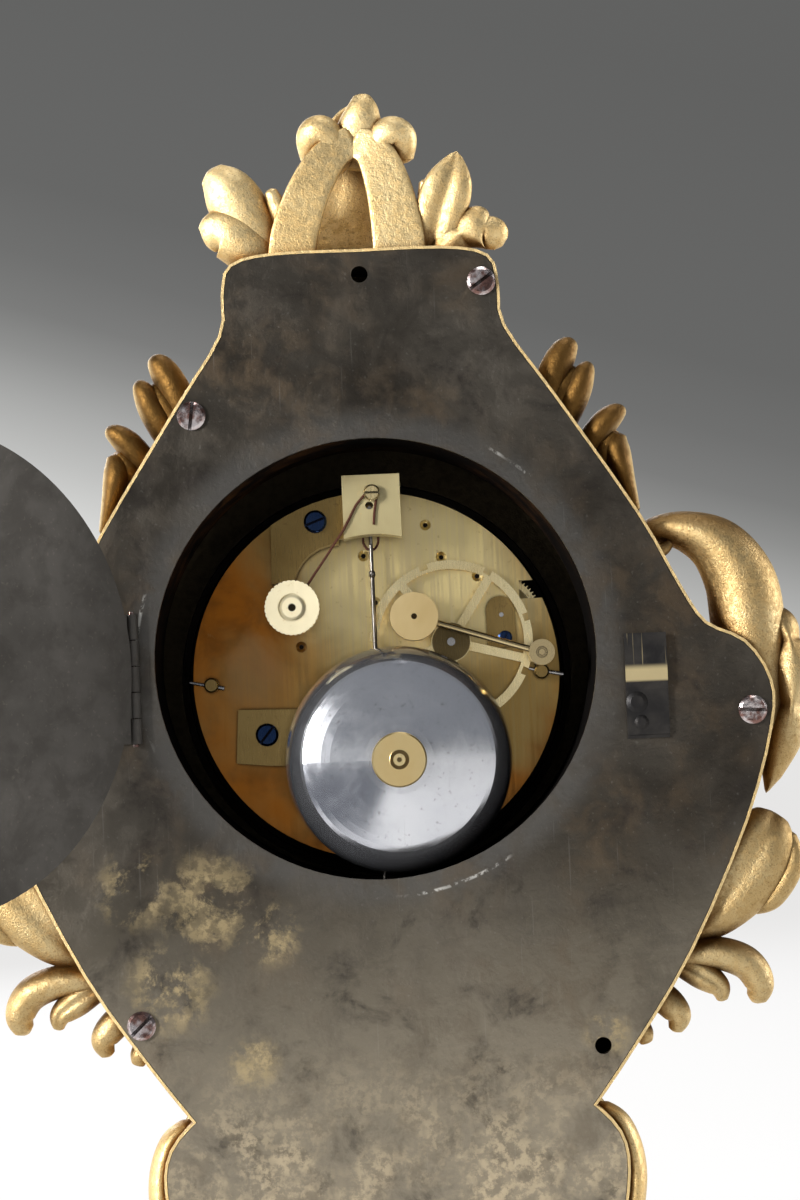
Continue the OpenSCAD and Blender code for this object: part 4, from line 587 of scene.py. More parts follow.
# Back panel: a flat brass sheet patinated nearly black, let into the rebate and held by slotted
# screws. Handling has rubbed gold patches low down, and the door has worn a grey ring round the opening.
PANEL_DARK, PANEL_GREY, PANEL_UMBER = (0.036, 0.030, 0.023), (0.086, 0.075, 0.060), (0.088, 0.061, 0.036)
PANEL_GOLD, PANEL_RING, PANEL_BARE = (0.44, 0.34, 0.18), (0.120, 0.113, 0.102), (0.62, 0.60, 0.55)
PANEL_LOW, PANEL_SMOKE, PANEL_FOOT = (0.33, 0.283, 0.208), (0.028, 0.023, 0.020), (0.56, 0.455, 0.30)
# Rubbed patches as (x, z, reach) in mm, seen from behind with x to the left
PANEL_PATCHES = [(46, -62, 17), (31, -71, 11), (57, -84, 15), (65, -58, 13), (36, -104, 9), (-56, -100, 8)]
# Heights between which the sheet turns grey and then rubbed; distances of the worn ring and the door's arc
GREYED_Z, RUBBED_Z = (-35 * MM, -125 * MM), (-96 * MM, -138 * MM)
WORN_RING, DOOR_ARC_R = (68 * MM, 60 * MM), 62.6 * MM
# Scratches as (turn, stretch) of the noise that they are cut from
SCORES = ((0.7, (1500.0, 40.0, 40.0)), (-0.5, (1300.0, 40.0, 30.0)))
sheet_wear, told, gives = effect("sheet_wear", ["Cloud", "Mottle", "Grit", "Specks", "Scratches"])
t = sheet_wear
t.links.new(stepped(t, noise(t, told, 21.0, 4.0, 0.6, 0.6), 0.32, 0.7), gives["Cloud"])
t.links.new(stepped(t, noise(t, told, 95.0, 4.0, 0.65, 0.3), 0.36, 0.68), gives["Mottle"])
t.links.new(stepped(t, noise(t, told, 320.0, 4.0, 0.7), 0.40, 0.62), gives["Grit"])
t.links.new(stepped(t, noise(t, told, 900.0, 2.0, 0.5), 0.62, 0.74), gives["Specks"])
scores = [noise(t, stretched(t, told, by, (0.0, turn, 0.0)), 1.0, 1.0, 0.4) for turn, by in SCORES]
t.links.new(stepped(t, maths(t, "MAXIMUM", *scores), 0.72, 0.78), gives["Scratches"])


def around(tree, at, x, z):
    """Distance of a point from the axis along Y through x and z."""
    off = put(tree, "VectorMath", {0: at, 1: (x, 0.0, z)}, operation="SUBTRACT").outputs[0]
    flat = put(tree, "VectorMath", {0: off, 1: (1.0, 0.0, 1.0)}, operation="MULTIPLY").outputs[0]
    return put(tree, "VectorMath", {0: flat}, operation="LENGTH").outputs["Value"]


def any_of(tree, *masks):
    """The greatest of several masks."""
    most = masks[0]
    for mask in masks[1:]:
        most = maths(tree, "MAXIMUM", most, mask)
    return most


patina, t, shader, at = finish("patinated_sheet", Metallic=0.85)
wear = use(t, sheet_wear, at)
place = axes(t, at)
colour = tint(t, wear["Cloud"], PANEL_DARK, PANEL_GREY)
umber = all_of(t, wear["Mottle"], stepped(t, noise(t, at, 33.0, 3.0, 0.5), 0.4, 0.65), 0.7)
colour = tint(t, umber, colour, PANEL_UMBER)
greyed = stepped(t, place["Z"], *GREYED_Z, 0.0, 0.75)
colour = tint(t, all_of(t, greyed, between(t, wear["Mottle"], 1.0, 0.6)), colour, PANEL_LOW)
smoke = stepped(t, noise(t, at, 58.0, 6.0, 0.68, 0.5), 0.50, 0.72)
colour = tint(t, all_of(t, smoke, between(t, wear["Grit"], 0.8, 0.45)), colour, PANEL_SMOKE)
reach = around(t, at, 0.0, 0.0)
worn_ring = all_of(t, stepped(t, reach, *WORN_RING), between(t, wear["Mottle"], 0.75, 0.25))
colour = tint(t, worn_ring, colour, PANEL_RING)
blobs = [stepped(t, around(t, at, x * MM, z * MM), r * MM, 0.35 * r * MM) for x, z, r in PANEL_PATCHES]
ragged = stepped(t, noise(t, at, 70.0, 6.0, 0.72, 0.2), 0.46, 0.56)
patches = all_of(t, any_of(t, *blobs), ragged, between(t, wear["Grit"], 0.35, 0.8))
foot = all_of(t, stepped(t, place["Z"], *RUBBED_Z), stepped(t, noise(t, at, 48.0, 4.0, 0.65, 0.5), 0.36, 0.6),
              between(t, wear["Grit"], 0.2, 0.8))
colour = tint(t, foot, tint(t, patches, colour, PANEL_GOLD), PANEL_FOOT)
off_arc = maths(t, "ABSOLUTE", maths(t, "SUBTRACT", reach, DOOR_ARC_R))
arc = all_of(t, stepped(t, off_arc, 0.6 * MM, 0.15 * MM), stepped(t, wear["Grit"], 0.2, 0.8),
             stepped(t, noise(t, at, 26.0, 3.0, 0.6), 0.56, 0.64))
bare = any_of(t, all_of(t, arc, 0.8), all_of(t, wear["Scratches"], 0.05), all_of(t, wear["Specks"], 0.05))
colour = tint(t, bare, colour, PANEL_BARE)
rough = between(t, wear["Mottle"], 0.32, 0.46)
relief = maths(t, "ADD", wear["Mottle"], all_of(t, wear["Grit"], 0.5))
feed(t, shader, colour, rough, relief, depth=0.12, strength=0.4)
dress(patina, "back_panel")


# Panel screws: slotted steel screws with domed heads, driven into lugs of the casting and worn bright,
# with a violet-brown tone and painted shade in their slots.
SCREW_BROWN, SCREW_BRIGHT = (0.22, 0.12, 0.10), (0.62, 0.56, 0.55)
SCREW_SPECK, SCREW_SLOT_SHADE = (0.10, 0.06, 0.05), (0.02, 0.015, 0.012)
worn_steel, t, shader, at = finish("worn_screw_steel", Metallic=1.0)
wear = use(t, sheet_wear, at)
colour = tint(t, stepped(t, noise(t, at, 300.0, 3.0, 0.6), 0.40, 0.62), SCREW_BROWN, SCREW_BRIGHT)
colour = tint(t, all_of(t, wear["Specks"], 0.7), colour, SCREW_SPECK)
# Painted shade in the slot
colour = tint(t, stepped(t, openness(t, 1.6 * MM), 0.45, 0.85), SCREW_SLOT_SHADE, colour)
rough = between(t, wear["Mottle"], 0.18, 0.36)
feed(t, shader, colour, rough, noise(t, at, 700.0, 3.0), depth=0.2, strength=0.5)
dress(worn_steel, "panel_screws")


# Dust drum: a cylinder rolled from thin dark sheet, set in round the movement to shut it off from the
# case. Its near-black colour is partly the dark sheet and partly painted shade, and its upper part is rusty.
DRUM_DARK_SHADE, DRUM_RUST, RUSTY_Z = (0.0040, 0.0035, 0.0032), (0.050, 0.022, 0.008), (-20 * MM, 45 * MM)
drum_sheet, t, shader, at = finish("dark_drum_sheet", Metallic=0.0, Specular_IOR_Level=0.0)
wear = use(t, sheet_wear, at)
rust = all_of(t, wear["Cloud"], wear["Mottle"], stepped(t, axes(t, at)["Z"], *RUSTY_Z))
# The near-black ground is partly painted shade
colour = tint(t, rust, DRUM_DARK_SHADE, DRUM_RUST)
feed(t, shader, colour, between(t, wear["Mottle"], 0.8, 0.95), wear["Mottle"], depth=0.1, strength=0.3)
dress(drum_sheet, "dust_drum")


# Rear door: a round sheet lid on a three-knuckle hinge whose leaves are riveted on. It hangs open, with
# its dull inner face turned to the back.
DOOR_DARK, DOOR_GREY = (0.055, 0.050, 0.043), (0.092, 0.084, 0.074)
DOOR_MOTTLE, DOOR_SPECK = (0.05, 0.044, 0.036), (0.24, 0.21, 0.17)
door_sheet, t, shader, at = finish("door_sheet", Metallic=0.7)
wear = use(t, sheet_wear, at)
colour = tint(t, wear["Cloud"], DOOR_DARK, DOOR_GREY)
colour = tint(t, all_of(t, wear["Mottle"], 0.35), colour, DOOR_MOTTLE)
colour = tint(t, all_of(t, wear["Specks"], 0.14), colour, DOOR_SPECK)
feed(t, shader, colour, between(t, wear["Mottle"], 0.46, 0.62), wear["Mottle"], depth=0.1, strength=0.3)
dress(door_sheet, "rear_door", "case_hinge_leaf", "door_hinge_leaf", "door_rivets")
dress(worn_steel, "door_hinge_pin")


# Spring catch: a bent strip of dark sheet, riveted to the panel, that holds the door's tongue. The fold
# is rubbed bright, and the door has scraped the strip above it.
CATCH_DARK, CATCH_GREY, CATCH_BARE = (0.018, 0.017, 0.017), (0.042, 0.038, 0.034), (0.62, 0.50, 0.27)
CATCH_FOLD_FOOT, CATCH_FOLD_HEAD = (-9.4 * MM, -8.6 * MM), (-4.4 * MM, -6.2 * MM)
SCRAPED_Z = (-8 * MM, -5 * MM)
catch_strip, t, shader, at = finish("catch_strip", Metallic=0.85)
wear = use(t, sheet_wear, at)
height = axes(t, at)["Z"]
fold = all_of(t, stepped(t, height, *CATCH_FOLD_FOOT), stepped(t, height, *CATCH_FOLD_HEAD))
across = noise(t, stretched(t, at, (1300.0, 40.0, 40.0)), 1.0, 1.0, 0.4)
scraped = all_of(t, stepped(t, across, 0.62, 0.72), stepped(t, height, *SCRAPED_Z), 0.55)
bare = any_of(t, fold, scraped)
colour = tint(t, wear["Mottle"], CATCH_DARK, CATCH_GREY)
colour = tint(t, bare, colour, CATCH_BARE)
feed(t, shader, colour, between(t, bare, 0.5, 0.34), wear["Mottle"], depth=0.1, strength=0.3)
dress(catch_strip, "catch_spring", "catch_base", "catch_rivets")


# Movement plates: round plates of sheet brass, filed and grained upright, left bright. Their left and lower
# rim are painted orange-brown as shadow, an oval in the upper right is painted pale as light, and the rest
# darker gold as shade.
PLATE_LIT, PLATE_SHADED, PLATE_LINE = (0.80, 0.64, 0.33), (0.30, 0.205, 0.075), (0.88, 0.72, 0.40)
PLATE_SHADOW_ORANGE, PLATE_SHADOW_BROWN, PLATE_BLOOM = (0.36, 0.12, 0.014), (0.17, 0.062, 0.012), (0.40, 0.26, 0.15)
PLATE_SPOT, PLATE_SINK_SHADE = (0.30, 0.16, 0.05), (0.03, 0.02, 0.01)
# The painted light is an ellipse round its middle with those half axes; the painted orange shadow starts at
# its edge x and leans
LIT_AT, LIT_HALF = (-9 * MM, 21 * MM), (38 * MM, 26 * MM)
SHADOW_X, SHADOW_LEAN, STAIN_WANDER = (14 * MM, 40 * MM), -0.30, 9 * MM
brushed, told, gives = effect("brushed_grain", ["Grain", "Stain", "Spots"])
t = brushed
t.links.new(noise(t, stretched(t, told, (5200.0, 5200.0, 120.0)), 1.0, 2.0, 0.6), gives["Grain"])
t.links.new(stepped(t, noise(t, told, 30.0, 4.0, 0.6, 0.5), 0.34, 0.68), gives["Stain"])
t.links.new(stepped(t, noise(t, told, 520.0, 3.0, 0.6), 0.64, 0.74), gives["Spots"])

plate_brass, t, shader, at = finish("plate_brass", Metallic=1.0)
grain = use(t, brushed, at)
place = axes(t, at)
wander = all_of(t, grain["Stain"], STAIN_WANDER)
# Painted shadow on the left and on the lower rim, orange-brown with darker patches
leaning = maths(t, "ADD", place["X"], all_of(t, place["Z"], SHADOW_LEAN))
shadow_left = stepped(t, maths(t, "ADD", leaning, wander), *SHADOW_X)
shadow_rim = stepped(t, maths(t, "ADD", around(t, at, -6 * MM, 6 * MM), wander), 46 * MM, 58 * MM, 0.0, 0.8)
shadow_rim = all_of(t, shadow_rim, stepped(t, place["Z"], 12 * MM, -16 * MM))
lines = stepped(t, noise(t, stretched(t, at, (1900.0, 1900.0, 16.0)), 1.0, 3.0, 0.6), 0.34, 0.68)
# Painted light: a pale oval in the upper right, with darker gold round it as painted shade
lit_x = maths(t, "DIVIDE", maths(t, "SUBTRACT", place["X"], LIT_AT[0]), LIT_HALF[0])
lit_z = maths(t, "DIVIDE", maths(t, "SUBTRACT", place["Z"], LIT_AT[1]), LIT_HALF[1])
lit_oval = put(t, "CombineXYZ", {"X": lit_x, "Z": lit_z}).outputs[0]
lit_oval = put(t, "VectorMath", {0: lit_oval}, operation="LENGTH").outputs["Value"]
lit_oval = stepped(t, maths(t, "ADD", lit_oval, all_of(t, grain["Stain"], 0.2)), 1.25, 0.65)
colour = tint(t, lit_oval, PLATE_SHADED, PLATE_LIT)
colour = tint(t, all_of(t, lines, 0.24), colour, PLATE_LINE, "OVERLAY")
bloom = stepped(t, maths(t, "ADD", around(t, at, 32 * MM, 0.0), wander), 15 * MM, 6 * MM, 0.0, 0.35)
shadow_patches = stepped(t, noise(t, at, 62.0, 4.0, 0.6, 0.4), 0.42, 0.66, 0.0, 0.75)
shadow_colour = tint(t, bloom, tint(t, shadow_patches, PLATE_SHADOW_ORANGE, PLATE_SHADOW_BROWN), PLATE_BLOOM)
turned = stepped(t, noise(t, at, 26.0, 3.0, 0.6, 0.3), 0.36, 0.58, 0.55, 1.0)
colour = tint(t, all_of(t, any_of(t, shadow_left, shadow_rim), turned), colour, shadow_colour)
colour = tint(t, all_of(t, grain["Spots"], 0.35), colour, PLATE_SPOT)
# Painted shade in holes and sinks
colour = tint(t, stepped(t, openness(t, 1.4 * MM), 0.45, 0.80), PLATE_SINK_SHADE, colour)
feed(t, shader, colour, between(t, lines, 0.28, 0.38), grain["Grain"], depth=0.03, strength=0.5)
dress(plate_brass, "back_plate", "front_plate")


# Hand nut and hour wheel: small brass, turned and polished, that sits on the arbor of the hands. The
# lines of its grain set both the roughness and the bump.
BRASS_BRIGHT, BRASS_STAIN, BRASS_DULL = (0.83, 0.66, 0.34), (0.74, 0.55, 0.25), (0.56, 0.38, 0.14)


def feed_grained(tree, shader, colour, grain, rough, depth, strength):
    """Links a colour, a roughness between two values across the brushed lines, and those lines as a bump."""
    across = stepped(tree, grain["Grain"], 0.3, 0.7, *rough)
    feed(tree, shader, colour, across, grain["Grain"], depth, strength)


bright_brass, t, shader, at = finish("bright_brass", Metallic=1.0)
grain = use(t, brushed, at)
colour = tint(t, grain["Stain"], BRASS_BRIGHT, BRASS_STAIN)
colour = tint(t, all_of(t, grain["Spots"], 0.55), colour, BRASS_DULL)
feed_grained(t, shader, colour, grain, rough=(0.22, 0.38), depth=0.03, strength=0.4)
dress(bright_brass, "hand_nut", "hour_wheel")


# Bell nut: a turned brass nut that holds the bell on its post, with a dark ring round the post's end.
# Ring and post are told apart by their distance from the nut's axis.
def axis_of(name):
    """The (x, z) of the axis along Y through the middle of a CAD node's box."""
    low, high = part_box(name)
    return (low.x + high.x) / 2, (low.z + high.z) / 2


NUT_STAIN, POST_DARK = (0.70, 0.52, 0.24), (0.07, 0.04, 0.015)
NUT_AXIS = axis_of("bell_nut")
nut_brass, t, shader, at = finish("nut_brass", Metallic=1.0)
grain = use(t, brushed, at)
reach = around(t, at, *NUT_AXIS)
ring = all_of(t, stepped(t, reach, 1.5 * MM, 1.7 * MM), stepped(t, reach, 2.7 * MM, 2.5 * MM))
colour = tint(t, grain["Stain"], BRASS_BRIGHT, NUT_STAIN)
colour = tint(t, all_of(t, ring, 0.85), colour, POST_DARK)
feed(t, shader, colour, between(t, grain["Stain"], 0.26, 0.36), ring, depth=0.2, strength=0.5)
dress(nut_brass, "bell_nut")


# Pillars, cocks and the bell's bracket: brass, turned or filed, screwed or riveted to the plates, and
# darker, partly toned by age and partly painted shade. The end of the bell's post is worn bright round its
# centre mark.
TONED_SHADED_BRASS, TONED_STAIN, TONED_SPOT = (0.30, 0.205, 0.075), (0.20, 0.125, 0.04), (0.12, 0.06, 0.02)
toned_shaded_brass, t, shader, at = finish("toned_shaded_brass", Metallic=1.0)
grain = use(t, brushed, at)
reach = around(t, at, *NUT_AXIS)
# The dark ground is partly age and partly painted shade
colour = tint(t, grain["Stain"], TONED_SHADED_BRASS, TONED_STAIN)
colour = tint(t, all_of(t, grain["Spots"], 0.5), colour, TONED_SPOT)
colour = tint(t, stepped(t, reach, 2.8 * MM, 2.7 * MM), colour, BRASS_BRIGHT)
colour = tint(t, stepped(t, reach, 0.8 * MM, 0.5 * MM, 0.0, 0.9), colour, POST_DARK)
feed_grained(t, shader, colour, grain, rough=(0.26, 0.36), depth=0.02, strength=0.15)
dress(toned_shaded_brass, "pillars", "pallet_cock", "strike_cock", "bell_bracket")


# Silk knob and suspension block: pale brass, the block filed and the knob turned, with the shade of a
# groove and of a centre hole painted dark on its face.
BLOCK_BRASS, BLOCK_STAIN = (0.40, 0.335, 0.175), (0.30, 0.235, 0.11)
KNOB_BRASS, KNOB_GROOVE_SHADE = (0.84, 0.74, 0.49), (0.06, 0.045, 0.02)
KNOB_AXIS = (21.9 * MM, 15.0 * MM)
pale_brass, t, shader, at = finish("pale_brass", Metallic=0.6)
grain = use(t, brushed, at)
reach = around(t, at, *KNOB_AXIS)
# Painted shade of a groove and of the centre hole
groove_shade = all_of(t, stepped(t, reach, 2.5 * MM, 3.0 * MM), stepped(t, reach, 3.9 * MM, 3.3 * MM), 0.45)
groove_shade = any_of(t, groove_shade, stepped(t, reach, 1.2 * MM, 0.9 * MM))
colour = tint(t, grain["Stain"], BLOCK_BRASS, BLOCK_STAIN)
colour = tint(t, stepped(t, reach, 9 * MM, 8.5 * MM), colour, KNOB_BRASS)
colour = tint(t, groove_shade, colour, KNOB_GROOVE_SHADE)
colour = tint(t, all_of(t, grain["Spots"], 0.4), colour, BRASS_DULL)
feed_grained(t, shader, colour, grain, rough=(0.34, 0.5), depth=0.03, strength=0.4)
dress(pale_brass, "silk_knob", "suspension_block")


# Small steel: the taper pins that hold the plate on its pillars, and the bezel's hinge, of polished grey
# steel with a trace of rust.
STEEL_GREY, STEEL_STAIN, STEEL_RUST = (0.50, 0.49, 0.48), (0.34, 0.32, 0.31), (0.20, 0.10, 0.05)
grey_steel, t, shader, at = finish("grey_steel", Metallic=1.0)
grain = use(t, brushed, at)
colour = tint(t, grain["Stain"], STEEL_GREY, STEEL_STAIN)
colour = tint(t, all_of(t, grain["Spots"], 0.6), colour, STEEL_RUST)
feed_grained(t, shader, colour, grain, rough=(0.2, 0.36), depth=0.02, strength=0.4)
dress(grey_steel, "pillar_pins", "bezel_hinge")


# Movement screws: slotted and heat blued, but for the brass one that holds the suspension block, which is
# the one above BRASS_SCREW_Z and short of BRASS_SCREW_X.
SCREW_BLUE, SCREW_BLUE_PALE, BLUED_SLOT_SHADE = (0.014, 0.030, 0.080), (0.030, 0.050, 0.105), (0.006, 0.005, 0.005)
BRASS_SCREW_Z, BRASS_SCREW_X = (38 * MM, 39 * MM), (9 * MM, 8 * MM)
screws, t, shader, at = finish("blued_screws", Metallic=1.0)
grain = use(t, brushed, at)
place = axes(t, at)
is_brass = all_of(t, stepped(t, place["Z"], *BRASS_SCREW_Z), stepped(t, place["X"], *BRASS_SCREW_X))
colour = tint(t, grain["Stain"], SCREW_BLUE, SCREW_BLUE_PALE)
colour = tint(t, is_brass, colour, BRASS_BRIGHT)
# Painted shade in the slots
colour = tint(t, stepped(t, openness(t, 1.2 * MM), 0.45, 0.80), BLUED_SLOT_SHADE, colour)
feed_grained(t, shader, colour, grain, rough=(0.2, 0.34), depth=0.02, strength=0.4)
dress(screws, "movement_screws")


# Trains: cut brass wheels riveted on steel arbors with leafed pinions. Steel shows within the
# pinion's radius (mm) of each arbor, brass beyond it. The count wheel's collet is dark brass.
WHEEL_BRASS, WHEEL_STAIN, OLD_OIL = (0.92, 0.78, 0.45), (0.78, 0.60, 0.28), (0.015, 0.012, 0.01)
ARBOR_STEEL, COLLET_BRASS = (0.52, 0.51, 0.50), (0.16, 0.115, 0.05)
PIVOT_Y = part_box("back_plate")[1].y
CORE_R = {
    "going_barrel": 2.5, "strike_barrel": 2.5, "intermediate_wheel": 3.2, "centre_wheel": 3.2,
    "third_wheel": 2.3, "escape_wheel": 1.9, "second_wheel": 3.0, "count_wheel": 5.2, "pin_wheel": 2.0,
    "locking_wheel": 2.0, "warning_wheel": 1.9, "fly": 1.3, "minute_wheel": 1.0,
}


def wheel_finish(name, axis, core_r, core):
    """Brass, with the core's metal inside core_r of the axis along Y through (x, z), and pivots that are
    black with old oil where they end in the back plate's sinks."""
    made, t, shader, at = finish(name, Metallic=1.0)
    grain = use(t, brushed, at)
    brass = tint(t, grain["Stain"], WHEEL_BRASS, WHEEL_STAIN)
    brass = tint(t, all_of(t, grain["Spots"], 0.5), brass, BRASS_DULL)
    arbor = tint(t, grain["Stain"], core, tuple(0.72 * c for c in core))
    colour = tint(t, stepped(t, around(t, at, *axis), core_r * 0.97, core_r * 1.03), arbor, brass)
    depth = axes(t, at)["Y"]
    in_sink = all_of(t, stepped(t, depth, PIVOT_Y - 1.4 * MM, PIVOT_Y - 1.2 * MM),
                     stepped(t, depth, PIVOT_Y + 0.3 * MM, PIVOT_Y + 0.1 * MM))
    colour = tint(t, in_sink, colour, OLD_OIL)
    feed_grained(t, shader, colour, grain, rough=(0.24, 0.34), depth=0.02, strength=0.15)
    return made


for wheel, core_r in CORE_R.items():
    core = COLLET_BRASS if wheel == "count_wheel" else ARBOR_STEEL
    dress(wheel_finish(wheel + "_metal", axis_of(wheel), core_r * MM, core), wheel)


# Mainsprings and winding arbors: coiled strips of spring steel, blue to grey, that lie in their barrels,
# and squared arbors of polished steel that wind them.
SPRING_BLUE, SPRING_GREY = (0.16, 0.17, 0.22), (0.30, 0.30, 0.33)
spring_steel, t, shader, at = finish("mainspring_steel", Metallic=1.0)
grain = use(t, brushed, at)
colour = tint(t, grain["Stain"], SPRING_BLUE, SPRING_GREY)
feed_grained(t, shader, colour, grain, rough=(0.22, 0.36), depth=0.02, strength=0.3)
dress(spring_steel, "going_spring", "strike_spring")
dress(grey_steel, "going_arbor", "strike_arbor")


# Suspension, crutch and pendulum: brown silk thread over the block, a steel crutch with its pallets, and a
# brass bob on a steel rod that hangs in the silk's loop.
SILK_DARK, SILK_BROWN = (0.028, 0.010, 0.006), (0.085, 0.032, 0.020)
ROD_GREY, ROD_DARK = (0.15, 0.14, 0.125), (0.08, 0.07, 0.06)
BOB_TOP_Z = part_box("pendulum")[0].z + 44 * MM
silk, t, shader, at = finish("silk_thread_brown", Roughness=0.9, Specular_IOR_Level=0.1)
twist = noise(t, stretched(t, at, (900.0, 900.0, 2600.0), (0.5, 0.6, 0.0)), 1.0, 2.0)
feed(t, shader, tint(t, twist, SILK_DARK, SILK_BROWN), None, twist, depth=0.08, strength=0.6)
dress(silk, "silk_thread")
dress(grey_steel, "anchor_crutch")
pendulum_metal, t, shader, at = finish("pendulum_metal", Metallic=1.0)
grain = use(t, brushed, at)
on_bob = stepped(t, axes(t, at)["Z"], BOB_TOP_Z, BOB_TOP_Z - 1 * MM)
rod = tint(t, grain["Stain"], ROD_GREY, ROD_DARK)
colour = tint(t, on_bob, rod, tint(t, grain["Stain"], BRASS_BRIGHT, BRASS_DULL))
feed_grained(t, shader, colour, grain, rough=(0.24, 0.38), depth=0.02, strength=0.4)
dress(pendulum_metal, "pendulum")


# Hammer: a brass head on a springy arm of the same colour, pivoted between the plates. The head is the
# duller of the two.
ARM_BRASS, ARM_STAIN = (0.60, 0.47, 0.25), (0.44, 0.33, 0.15)
HEAD_BRASS, HEAD_STAIN, HAMMER_SUNK_SHADE = (0.66, 0.51, 0.26), (0.55, 0.40, 0.18), (0.03, 0.02, 0.012)
HEAD_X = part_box("hammer")[1].x - 13.6 * MM
hammer_metal, t, shader, at = finish("hammer_metal", Metallic=1.0)
grain = use(t, brushed, at)
in_head = stepped(t, axes(t, at)["X"], HEAD_X, HEAD_X + 0.6 * MM)
arm = tint(t, grain["Stain"], ARM_BRASS, ARM_STAIN)
head = tint(t, grain["Stain"], HEAD_BRASS, HEAD_STAIN)
# Painted shade in the hammer's hollows
colour = tint(t, stepped(t, openness(t, 1.5 * MM), 0.3, 0.7), HAMMER_SUNK_SHADE, tint(t, in_head, arm, head))
feed(t, shader, colour, between(t, in_head, 0.24, 0.45), grain["Grain"], depth=0.02, strength=0.3)
dress(hammer_metal, "hammer")


# Bell: a shallow cup of grey bell metal, cast, turned and polished. Fine turning lines run round its
# axis, with a few specks and scratches.
BELL_GREY, BELL_PALE = (0.57, 0.58, 0.62), (0.66, 0.665, 0.69)
BELL_SPECK, BELL_SCRATCH, LINES_PER_M = (0.16, 0.14, 0.13), (0.52, 0.52, 0.53), 1800.0
bell_metal, t, shader, at = finish("polished_bell_metal", Metallic=0.94)
wear = use(t, sheet_wear, at)
reach = around(t, at, *axis_of("bell"))
turned = noise(t, put(t, "CombineXYZ", {"X": all_of(t, reach, LINES_PER_M)}).outputs[0], 1.0, 2.0)
colour = tint(t, wear["Cloud"], BELL_GREY, BELL_PALE)
colour = tint(t, all_of(t, wear["Specks"], 0.3), colour, BELL_SPECK)
colour = tint(t, all_of(t, wear["Scratches"], 0.25), colour, BELL_SCRATCH)
rough = maths(t, "ADD", between(t, wear["Mottle"], 0.10, 0.18), all_of(t, turned, 0.05))
feed(t, shader, colour, rough, turned, depth=0.01, strength=0.25)
dress(bell_metal, "bell")


# Dial: a fired white enamel disc in a dark brass pan. Painted Roman hours stand upright to the rim,
# with a minute ring of two fine lines and sixty bars outside them.
PAN_DARK, PAN_BROWN = (0.016, 0.011, 0.006), (0.030, 0.018, 0.008)
ENAMEL_WHITE, ENAMEL_MIST, ENAMEL_PIT = (0.80, 0.79, 0.74), (0.74, 0.73, 0.67), (0.45, 0.42, 0.36)
PAINT_BLACK, PAINT_WORN = (0.012, 0.012, 0.013), (0.05, 0.048, 0.045)
dial_pan, t, shader, at = finish("dark_pan_brass", Metallic=0.6)
wear = use(t, sheet_wear, at)
colour = tint(t, wear["Mottle"], PAN_DARK, PAN_BROWN)
feed(t, shader, colour, between(t, wear["Mottle"], 0.6, 0.8), wear["Mottle"], depth=0.1, strength=0.3)
dress(dial_pan, "dial_plate")

enamel, t, shader, at = finish("white_enamel", Roughness=0.16, Coat_Weight=0.5, Coat_Roughness=0.05)
mist = noise(t, at, 60.0, 4.0, 0.6)
pits = stepped(t, noise(t, at, 1400.0, 2.0), 0.70, 0.78, 0.0, 0.3)
colour = tint(t, pits, tint(t, mist, ENAMEL_WHITE, ENAMEL_MIST), ENAMEL_PIT)
feed(t, shader, colour, None, mist, depth=0.05, strength=0.2)
dress(enamel, "dial")

dial_low, dial_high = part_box("dial")
DIAL_R = (dial_high.x - dial_low.x) / 2
DIAL_MIDDLE = np.array(axis_of("dial"))
FIGURE_IN, FIGURE_OUT = 0.60 * DIAL_R, 0.82 * DIAL_R
FIGURE_H = FIGURE_OUT - FIGURE_IN
MINUTE_IN, MINUTE_OUT = 0.875 * DIAL_R, 0.925 * DIAL_R
PAINT_T = 0.05 * MM
THICK, FINE, FIVE_MINUTE = 1.5 * MM, 0.45 * MM, 1.3 * MM
RING_HALF, RING_STEPS = 0.15 * MM, 180
# Each letter's width and its strokes as (foot offset, head offset, stroke's width). The letter's width and
# the offsets, like the serifs' reach beyond the strokes, are shares of the figure's height
LETTERS = {
    "I": (0.24, [(0.0, 0.0, THICK)]),
    "V": (0.52, [(0.0, -0.17, THICK), (0.0, 0.17, FINE)]),
    "X": (0.52, [(0.17, -0.17, THICK), (-0.17, 0.17, FINE)]),
}
SERIF_REACH = 0.10
HOURS = ["XII", "I", "II", "III", "IIII", "V", "VI", "VII", "VIII", "IX", "X", "XI"]


def hour_strokes(word):
    """Foot offsets, head offsets and widths of one hour's strokes: the letters stand next to each other by
    their widths, and the row is centred on its hour."""
    widths = np.array([LETTERS[c][0] for c in word])
    middles = np.cumsum(widths) - widths / 2 - widths.sum() / 2
    rows = [(m + foot, m + head, width) for c, m in zip(word, middles) for foot, head, width in LETTERS[c][1]]
    return np.array(rows).T


def painted(name, quads, material):
    """A piece of thin raised paint from quads, each a row of four corners (x, z) on the dial's face."""
    front = np.stack([quads[..., 0], np.full(quads.shape[:2], dial_low.y - PAINT_T), quads[..., 1]], axis=-1)
    back = front + np.array([0.0, PAINT_T * 0.9, 0.0])
    points = np.concatenate([front, back], axis=1).reshape(-1, 3)
    sides = np.array([[0, 1, 2, 3], [1, 0, 4, 5], [2, 1, 5, 6], [3, 2, 6, 7], [0, 3, 7, 4], [7, 6, 5, 4]])
    faces = (np.arange(len(quads))[:, None, None] * 8 + sides).reshape(-1, 4)
    made = add_piece(name, points, faces.tolist(), material, smooth=False)
    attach(made, "case")


def on_dial(turn, reach, offset=0.0):
    """Points (x, z) at that distance from the dial's middle along a radius turned clockwise from the top, as
    seen in front, and that offset across it."""
    turn, reach, offset = (v[..., None] for v in np.broadcast_arrays(turn, reach, offset))
    up = np.concatenate([np.sin(turn), np.cos(turn)], axis=-1)
    across = np.concatenate([np.cos(turn), -np.sin(turn)], axis=-1)
    return DIAL_MIDDLE + up * reach + across * offset


